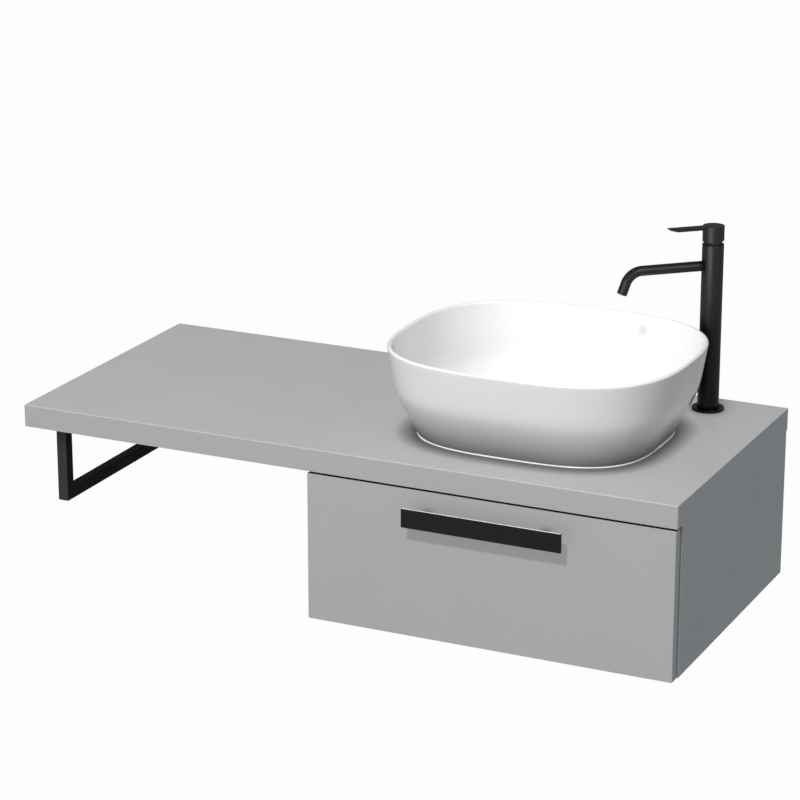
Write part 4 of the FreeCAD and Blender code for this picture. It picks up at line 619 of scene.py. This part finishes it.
BEAD_TUCK = 0.25 * MM       # bead's back runs this far inside the foot's outline
BEAD_SECTION = (            # share of the bead's height and of its reach over the worktop
    (0, 1.0), (0.10, 0.96), (0.32, 0.55), (0.60, 0.28), (0.88, 0.10), (1.0, 0.0),
)
BEAD_MEAN = 0.90            # of its widest reach
BEAD_WANDER = 0.05          # and how much each of two waves adds to that
BEAD_WAVES = ((7, 0.6), (19, 2.1))      # waves round the foot, and where each starts


def bead_width(angle):
    """How far the bead reaches at an angle round the foot, as a share of its widest reach."""
    return BEAD_MEAN + sum(BEAD_WANDER * math.sin(count * angle + start) for count, start in BEAD_WAVES)


def make_bead():
    """Sealant drawn round the foot: a slightly hollow fillet whose width wanders a little."""
    low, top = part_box("sealant_bead")
    height = top.z - low.z
    widest = (top.x - low.x) / 2 - FOOT_HALF[0]
    rings = [basin_ring(0, BEAD_TUCK)]
    for rise, reach in BEAD_SECTION:
        ring = basin_ring(height * rise, 0)
        inner = basin_ring(height * rise, BEAD_TUCK)
        points = []
        for step, (edge, inside) in enumerate(zip(ring, inner)):
            outwards = (edge - inside).normalized()
            points.append(edge + outwards * widest * reach * bead_width(2 * math.pi * step / BASIN_AROUND))
        rings.append(points)
    rings.append(basin_ring(height, BEAD_TUCK))
    return piece_for(["sealant_bead"], "sealant_bead_drawn", ring_mesh("sealant_bead_drawn", rings))


# ---------------------------------------------------------------- waste and trap
PLUG_COLLAR = 9 * MM        # radius
PLUG_RISE = 4.2 * MM        # height of the rolled edge and the dome together
PLUG_EDGE = 3.0 * MM        # height of the rolled edge
PLUG_KNEE = (0.62, 4.0 * MM)            # share of the radius and height above the collar
PIPE_HOLE = 16.1 * MM       # radius of the nuts' holes for the pipes
INLET_THREAD = 20.97 * MM   # radius
INLET_SKIRT = 5 * MM        # inlet nut below its thread
INLET_CHAMFER = (2.5 * MM, 3 * MM)      # inwards and upwards
INLET_RIBS_FROM = 3.2 * MM  # above the nut's lower end
OUTLET_THREAD = 19.55 * MM  # radius
OUTLET_END = 5.8 * MM       # outlet nut behind its thread
OUTLET_CHAMFER = 2 * MM
OUTLET_RIBS_FROM = 0.6 * MM     # from the nut's end at the trap
OUTLET_RIBS_END = 2.4 * MM  # from its other end
CUP_FOOT = 8 * MM           # rounded edge of the cup's underside
CUP_FOOT_INSIDE = 9 * MM
CUP_WALL = 2.9 * MM         # round the trap body's thread
CUP_THREAD = 16.5 * MM      # length
CUP_BAND = 17 * MM          # at the cup's mouth
CUP_RIBS = 16.9 * MM        # ribbed part of the band
CUP_STEP = 0.5 * MM         # cup below its band, from the band's outside
CUP_TAPER = 1 * MM          # height over which the band begins
CUP_INNER = 6 * MM          # cup's bore from its outside, below the thread
CUP_FLOOR = 3 * MM


def make_plug():
    """Push plug: a low dome with a rolled edge over a short collar."""
    radius, height = radius_and_height("waste_plug")
    edge = height - PLUG_RISE
    return turned("waste_plug", "waste_plug_domed", [
        (0, 0, 0),
        (PLUG_COLLAR, 0, 0.5 * MM),
        (PLUG_COLLAR, edge, 0.5 * MM),
        (radius, edge, 0.9 * MM),
        (radius, edge + PLUG_EDGE, 1.2 * MM),
        (radius * PLUG_KNEE[0], edge + PLUG_KNEE[1], 8 * MM),
        (0, height, 0),
    ])


def make_trap():
    """Trap nuts and cup with the ribbed grips, steps and chamfers of moulded fittings."""
    radius, height = radius_and_height("trap_inlet_nut")
    turned("trap_inlet_nut", "trap_inlet_nut_ribbed", [
        (PIPE_HOLE, 0, 0.3 * MM),
        (radius - INLET_CHAMFER[0], 0, 1 * MM),
        (radius, INLET_CHAMFER[1], 1 * MM),
        (radius, height, 0.8 * MM),
        (INLET_THREAD, height, 0.3 * MM),
        (INLET_THREAD, INLET_SKIRT, 0),
        (PIPE_HOLE, INLET_SKIRT, 0),
    ], around=RIBBED_AROUND, ribs=18, rib_span=(INLET_RIBS_FROM, height))
    radius, height = radius_and_height("trap_cup")
    turned("trap_cup", "trap_cup_ribbed", [
        (0, 0, 0),
        (radius - CUP_FOOT, 0, 6 * MM),
        (radius - CUP_STEP, CUP_FOOT, 5 * MM),
        (radius - CUP_STEP, height - CUP_BAND - CUP_TAPER, 0.4 * MM),
        (radius, height - CUP_BAND, 0.4 * MM),
        (radius, height, 1 * MM),
        (radius - CUP_WALL, height, 0.4 * MM),
        (radius - CUP_WALL, height - CUP_THREAD, 0),
        (radius - CUP_INNER, height - CUP_THREAD, 0),
        (radius - CUP_INNER, CUP_FOOT_INSIDE, 4 * MM),
        (radius - CUP_FOOT_INSIDE, CUP_FLOOR, 2 * MM),
        (0, CUP_FLOOR, 0),
    ], around=RIBBED_AROUND, ribs=24, rib_span=(height - CUP_RIBS, height))
    low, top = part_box("trap_outlet_nut")
    radius = (top.x - low.x) / 2
    length = top.y - low.y
    trap_end = Vector(((low.x + top.x) / 2, low.y, (low.z + top.z) / 2))
    nut = lathe("trap_outlet_nut_ribbed", [
        (OUTLET_THREAD, 0, 0.3 * MM),
        (radius, 0, 0.8 * MM),
        (radius, length - OUTLET_CHAMFER, 1 * MM),
        (radius - OUTLET_CHAMFER, length, 0.8 * MM),
        (PIPE_HOLE, length, 0.3 * MM),
        (PIPE_HOLE, length - OUTLET_END, 0),
        (OUTLET_THREAD, length - OUTLET_END, 0),
    ], trap_end, INTO_WALL, RIBBED_AROUND, ribs=16, rib_span=(OUTLET_RIBS_FROM, length - OUTLET_RIBS_END))
    piece_for(["trap_outlet_nut"], "trap_outlet_nut_ribbed", nut)


# ---------------------------------------------------------------- tap
TAP_AXIS = axis_point("tap_flange", 0)
FLANGE_BORE = 14.2 * MM
SHANK_SOCKET = (14 * MM, 10 * MM)           # radius and depth, at the column's foot
CARTRIDGE_SOCKET = (13 * MM, 20 * MM)       # and at its top
SPOUT_ANGLE = math.radians(222)
SPOUT_WAY = Vector((math.cos(SPOUT_ANGLE), math.sin(SPOUT_ANGLE), 0))
SPOUT_SIDE = UP.cross(SPOUT_WAY)
SPOUT_RADIUS = 8 * MM
SPOUT_BORE = 6 * MM
SPOUT_START = 13 * MM       # from the tap's axis
SPOUT_RUN = 117 * MM        # from there too, to the start of the bend
SPOUT_BEND = 28 * MM        # radius of the bent axis
SPOUT_TURN = math.radians(70)
SPOUT_DROP = 18 * MM        # from the end of the bend to the mouth
SPOUT_AROUND = 72
RUN_STEPS = 8
BEND_STEPS = 24
TIP_JOINT = 12 * MM        # the fine joint of the aerator's sleeve, back from the mouth
TIP_JOINT_HALF = 0.45 * MM
TIP_JOINT_DEPTH = 0.25 * MM
TIP_STATIONS = (2, 5, 5.4, 5.7, 6.0, 6.3, 6.6, 6.9, 7.3, 12, 17.2)     # mm after the bend
LIP = 0.8 * MM              # how far the mouth's rounding runs back
LIP_STEPS = 9


def make_flange():
    """Base flange of the tap: a flat ring with a rounded upper edge."""
    radius, height = radius_and_height("tap_flange")
    return turned("tap_flange", "tap_flange_turned", [
        (FLANGE_BORE, 0, 0),
        (radius, 0, 0.3 * MM),
        (radius, height, 1.1 * MM),
        (FLANGE_BORE, height, 0),
    ])


def make_column():
    """Tap column: a plain cylinder with eased ends, bored for the shank below and the cartridge above."""
    radius, height = radius_and_height("tap_column")
    shank, shank_depth = SHANK_SOCKET
    cartridge, cartridge_depth = CARTRIDGE_SOCKET
    return turned("tap_column", "tap_column_turned", [
        (0, shank_depth, 0),
        (shank, shank_depth, 0),
        (shank, 0, 0.2 * MM),
        (radius, 0, 0.5 * MM),
        (radius, height, 0.7 * MM),
        (cartridge, height, 0.3 * MM),
        (cartridge, height - cartridge_depth, 0),
        (0, height - cartridge_depth, 0),
    ])


def spout_stations():
    """The (place, direction) stations along the spout's axis, its mouth and the direction of flow there."""
    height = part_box("tap_spout")[1].z - SPOUT_RADIUS
    start = TAP_AXIS + UP * height + SPOUT_WAY * SPOUT_START
    bend_start = TAP_AXIS + UP * height + SPOUT_WAY * SPOUT_RUN
    centre = bend_start - UP * SPOUT_BEND
    stations = [(start.lerp(bend_start, step / RUN_STEPS), SPOUT_WAY) for step in range(RUN_STEPS)]
    for step in range(BEND_STEPS + 1):
        angle = SPOUT_TURN * step / BEND_STEPS
        place = centre + (UP * math.cos(angle) + SPOUT_WAY * math.sin(angle)) * SPOUT_BEND
        stations.append((place, SPOUT_WAY * math.cos(angle) - UP * math.sin(angle)))
    bend_end, flow = stations[-1]
    for gone in TIP_STATIONS:
        stations.append((bend_end + flow * gone * MM, flow))
    return stations, bend_end + flow * SPOUT_DROP, flow


def spout_ring(place, way, radius):
    """Circle round the spout's axis."""
    lift = way.cross(SPOUT_SIDE)
    points = []
    for step in range(SPOUT_AROUND):
        angle = 2 * math.pi * step / SPOUT_AROUND
        points.append(place + (SPOUT_SIDE * math.cos(angle) + lift * math.sin(angle)) * radius)
    return points


def make_spout():
    """Bent tube with a fine joint near its rounded mouth."""
    stations, mouth, flow = spout_stations()
    rings = []
    for place, way in stations:
        back = (mouth - place).dot(flow) if way == flow else SPOUT_DROP
        in_joint = abs(back - TIP_JOINT) < TIP_JOINT_HALF
        rings.append(spout_ring(place, way, SPOUT_RADIUS - (TIP_JOINT_DEPTH if in_joint else 0)))
    middle = (SPOUT_RADIUS + SPOUT_BORE) / 2
    half_wall = (SPOUT_RADIUS - SPOUT_BORE) / 2
    for step in range(1, LIP_STEPS):
        angle = math.pi * step / LIP_STEPS
        rings.append(spout_ring(mouth - flow * (LIP - LIP * math.sin(angle)), flow,
                                middle + half_wall * math.cos(angle)))
    rings += [spout_ring(place, way, SPOUT_BORE) for place, way in reversed(stations)]
    return piece_for(["tap_spout"], "tap_spout_bent", ring_mesh("tap_spout_bent", rings))


# ---------------------------------------------------------------- pull's bright strip, a painted highlight
HIGHLIGHT_STRIP_INSET = 0.6 * MM       # from each end of the pull
HIGHLIGHT_STRIP_BACK = 0.1 * MM        # from the pull's front
HIGHLIGHT_STRIP_DEPTH = 1.8 * MM
HIGHLIGHT_STRIP_RISE = 0.7 * MM        # above the pull
HIGHLIGHT_STRIP_SUNK = 0.3 * MM        # into the pull
HIGHLIGHT_STRIP_SHOULDER = 0.6         # share of the rise below the chamfers
HIGHLIGHT_STRIP_CHAMFER = 0.15         # share of the depth that each chamfer takes


def make_pull_highlight_strip():
    """Bright metal strip along the top of the pull's front edge: a painted highlight of that edge."""
    low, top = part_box("pull_bar")
    ends = (low.x + HIGHLIGHT_STRIP_INSET, top.x - HIGHLIGHT_STRIP_INSET)
    front = low.y + HIGHLIGHT_STRIP_BACK
    section = (
        (front + HIGHLIGHT_STRIP_DEPTH, top.z - HIGHLIGHT_STRIP_SUNK),
        (front, top.z - HIGHLIGHT_STRIP_SUNK),
        (front, top.z + HIGHLIGHT_STRIP_SHOULDER * HIGHLIGHT_STRIP_RISE),
        (front + HIGHLIGHT_STRIP_CHAMFER * HIGHLIGHT_STRIP_DEPTH, top.z + HIGHLIGHT_STRIP_RISE),
        (front + (1 - HIGHLIGHT_STRIP_CHAMFER) * HIGHLIGHT_STRIP_DEPTH, top.z + HIGHLIGHT_STRIP_RISE),
        (front + HIGHLIGHT_STRIP_DEPTH, top.z + HIGHLIGHT_STRIP_SHOULDER * HIGHLIGHT_STRIP_RISE),
    )
    middle = Vector((0, front + HIGHLIGHT_STRIP_DEPTH / 2, top.z))
    rings = [[middle + Vector((ends[0], 0, 0))]]
    rings += [[Vector((x, y, z)) for y, z in section] for x in ends]
    rings.append([middle + Vector((ends[1], 0, 0))])
    highlight_strip = bpy.data.objects.new("pull_trim", ring_mesh("pull_trim", rings, closed=False))
    bpy.context.scene.collection.objects.link(highlight_strip)
    highlight_strip.data.materials.append(HIGHLIGHT_STRIP_FINISH.material)
    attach(highlight_strip, "drawer")
    return highlight_strip


# ---------------------------------------------------------------- all the pieces
SHAPED = (make_basin, make_bead, make_plug, make_trap, make_flange, make_column, make_spout, make_pull_highlight_strip)
SHAPED_NODES = {"basin", "sealant_bead", "waste_plug", "trap_inlet_nut", "trap_cup", "trap_outlet_nut",
                "tap_flange", "tap_column", "tap_spout"}

for make in SHAPED:
    make()
for node in sorted(cad_nodes):
    if node in EDGE_ROUNDING:
        softened(node, EDGE_ROUNDING[node], WIDE_SEGMENTS)
    elif node not in SHAPED_NODES:
        softened(node, SMALL_ROUNDING, SMALL_SEGMENTS)


# ---------------------------------------------------------------- floor and surroundings
FLOOR_Z = -0.85             # the worktop hangs at the usual height above the floor
STUDIO_RADIUS = 14.0
STUDIO_AROUND = 96
DOME_STEP = 10              # degrees
PAPER_BASE = (0.10, 0.10, 0.10, 1.0)
PAPER_GLOW = (1.0, 1.0, 0.985, 1.0)
PAPER_GLOW_STRENGTH = 0.965
WORLD_ABOVE = 0.22
WORLD_BELOW = 0.36
WORLD_BLEND = 0.35          # height of a unit direction, below and above level, where they blend


def studio_paper():
    """White studio paper that glows evenly enough to stay white round the object, and lights nothing."""
    material = bpy.data.materials.new("studio paper")
    material.use_nodes = True
    shader = material.node_tree.nodes["Principled BSDF"]
    shader.inputs["Base Color"].default_value = PAPER_BASE
    shader.inputs["Roughness"].default_value = 1.0
    shader.inputs["Specular IOR Level"].default_value = 0.0
    shader.inputs["Emission Color"].default_value = PAPER_GLOW
    shader.inputs["Emission Strength"].default_value = PAPER_GLOW_STRENGTH
    material.cycles.emission_sampling = "NONE"
    return material


def stage_object(name, rings):
    """A part of the surroundings that the camera sees and that neither lights nor shades the object."""
    mesh = ring_mesh(name, rings, closed=False)
    stage = bpy.data.objects.new(name, mesh)
    bpy.context.scene.collection.objects.link(stage)
    mesh.materials.append(studio_paper())
    mesh.shade_smooth()
    stage.visible_diffuse = False
    stage.visible_glossy = False
    stage.visible_shadow = False
    stage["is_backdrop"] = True


def circle_at(height, radius):
    """Circle round the frame's upright axis."""
    ring = []
    for step in range(STUDIO_AROUND):
        angle = 2 * math.pi * step / STUDIO_AROUND
        ring.append(Vector((radius * math.cos(angle), radius * math.sin(angle), height)))
    return ring


def make_studio():
    """Pale floor, and a pale dome far round it."""
    stage_object("studio_floor", [[Vector((0, 0, FLOOR_Z))], circle_at(FLOOR_Z, STUDIO_RADIUS)])
    dome = []
    for lift in range(0, 90, DOME_STEP):
        angle = math.radians(lift)
        dome.append(circle_at(FLOOR_Z + STUDIO_RADIUS * math.sin(angle), STUDIO_RADIUS * math.cos(angle)))
    dome.append([Vector((0, 0, FLOOR_Z + STUDIO_RADIUS))])
    stage_object("studio_dome", dome)


def make_world():
    """Soft light from all round, stronger from below, where a pale floor would throw it back."""
    world = bpy.data.worlds.new("studio light")
    bpy.context.scene.world = world
    world.use_nodes = True
    nodes = world.node_tree.nodes
    links = world.node_tree.links
    place = nodes.new("ShaderNodeTexCoord")
    split = nodes.new("ShaderNodeSeparateXYZ")
    strength = nodes.new("ShaderNodeMapRange")
    strength.inputs["From Min"].default_value = -WORLD_BLEND
    strength.inputs["From Max"].default_value = WORLD_BLEND
    strength.inputs["To Min"].default_value = WORLD_BELOW
    strength.inputs["To Max"].default_value = WORLD_ABOVE
    links.new(place.outputs["Generated"], split.inputs["Vector"])
    links.new(split.outputs["Z"], strength.inputs["Value"])
    links.new(strength.outputs["Result"], nodes["Background"].inputs["Strength"])
    nodes["Background"].inputs["Color"].default_value = (*WHITE, 1.0)


# ---------------------------------------------------------------- light
# Square soft boxes, each with its name, direction from the object, distance, side, brightness that it
# alone gives a white face that looks straight at it, colour, the group of pieces that it lights, and the
# group that casts shadows in it. Where the last is None, every piece casts them.
SOFTBOXES = (
    ("front softbox", (0.05, -0.70, 0.70), 8.0, 3.5, 0.55, WHITE, "all but the tap", "cabinet"),
    ("small key", (0.05, -0.70, 0.72), 6.0, 0.4, 0.39, WHITE, "all but the tap", "furniture"),
    ("overhead softbox", (-0.10, -0.31, 0.92), 7.0, 1.5, 0.27, WHITE, "all but the tap", "cabinet"),
    ("cool side fill", (0.93, 0.10, 0.35), 8.0, 3.5, 0.08, (0.60, 1.0, 1.30), "furniture", "cabinet"),
    ("low reflector", (-0.09, -0.99, -0.06), 6.0, 4.6, 1.25, WHITE, "tap", None),
    ("bowl light", (-0.10, -0.45, 0.89), 7.0, 1.5, 0.10, WHITE, "basin", "cabinet"),
    ("spout key", (0.72, -0.39, 0.58), 6.0, 1.6, 0.5, WHITE, "tap", None),
    ("bracket reflector", (-0.50, -0.87, 0.05), 6.0, 2.0, 1.9, WHITE, "bracket", None),
)
LIGHT_TARGET = Vector((0, -0.25, 0.05))
GROUPS = ("tap", "all but the tap", "basin", "furniture", "cabinet", "bracket")
BASIN_WORDS = ("basin", "bead")
TAP_WORDS = ("tap", "lever", "cartridge")


def light_groups():
    """The pieces in groups by their names. The cabinet is the furniture without its pull."""
    groups = {name: bpy.data.collections.new(name) for name in GROUPS}
    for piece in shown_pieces():
        if "bracket" in piece.name:
            groups["bracket"].objects.link(piece)
        if any(word in piece.name for word in TAP_WORDS):
            groups["tap"].objects.link(piece)
            continue
        groups["all but the tap"].objects.link(piece)
        if any(word in piece.name for word in BASIN_WORDS):
            groups["basin"].objects.link(piece)
            continue
        groups["furniture"].objects.link(piece)
        if "pull" not in piece.name:
            groups["cabinet"].objects.link(piece)
    return groups


def add_softbox(name, way, distance, side, brightness, colour, lit, shades, groups):
    """Square soft box that shines at the object's middle from a direction."""
    light = bpy.data.lights.new(name, "AREA")
    light.shape = "SQUARE"
    light.size = side
    light.energy = brightness * (math.pi * distance) ** 2
    light.color = colour
    lamp = bpy.data.objects.new(name, light)
    bpy.context.scene.collection.objects.link(lamp)
    way = Vector(way).normalized()
    lamp.location = LIGHT_TARGET + way * distance
    lamp.rotation_euler = way.to_track_quat("Z", "Y").to_euler()
    lamp.light_linking.receiver_collection = groups[lit]
    lamp.light_linking.blocker_collection = groups.get(shades)


# ---------------------------------------------------------------- camera
CAMERA_PLACE = Vector((1.9127, -4.3206, 1.4914))
CAMERA_AZIMUTH = math.radians(25.28)
CAMERA_ELEVATION = math.radians(18.02)
CAMERA_LENS = 134.77        # mm, as is the sensor's width
CAMERA_SENSOR = 36
CAMERA_SEES_TO = 60


def make_camera():
    """Long lens from the front right, a little above the worktop."""
    camera = bpy.data.cameras.new("camera")
    camera.lens = CAMERA_LENS
    camera.sensor_width = CAMERA_SENSOR
    camera.clip_end = CAMERA_SEES_TO
    view = bpy.data.objects.new("camera", camera)
    bpy.context.scene.collection.objects.link(view)
    view.location = CAMERA_PLACE
    view.rotation_euler = (math.pi / 2 - CAMERA_ELEVATION, 0, CAMERA_AZIMUTH)
    bpy.context.scene.camera = view


make_studio()
make_world()
groups = light_groups()
for softbox in SOFTBOXES:
    add_softbox(*softbox, groups)
make_camera()
bpy.context.scene.view_settings.view_transform = "Standard"
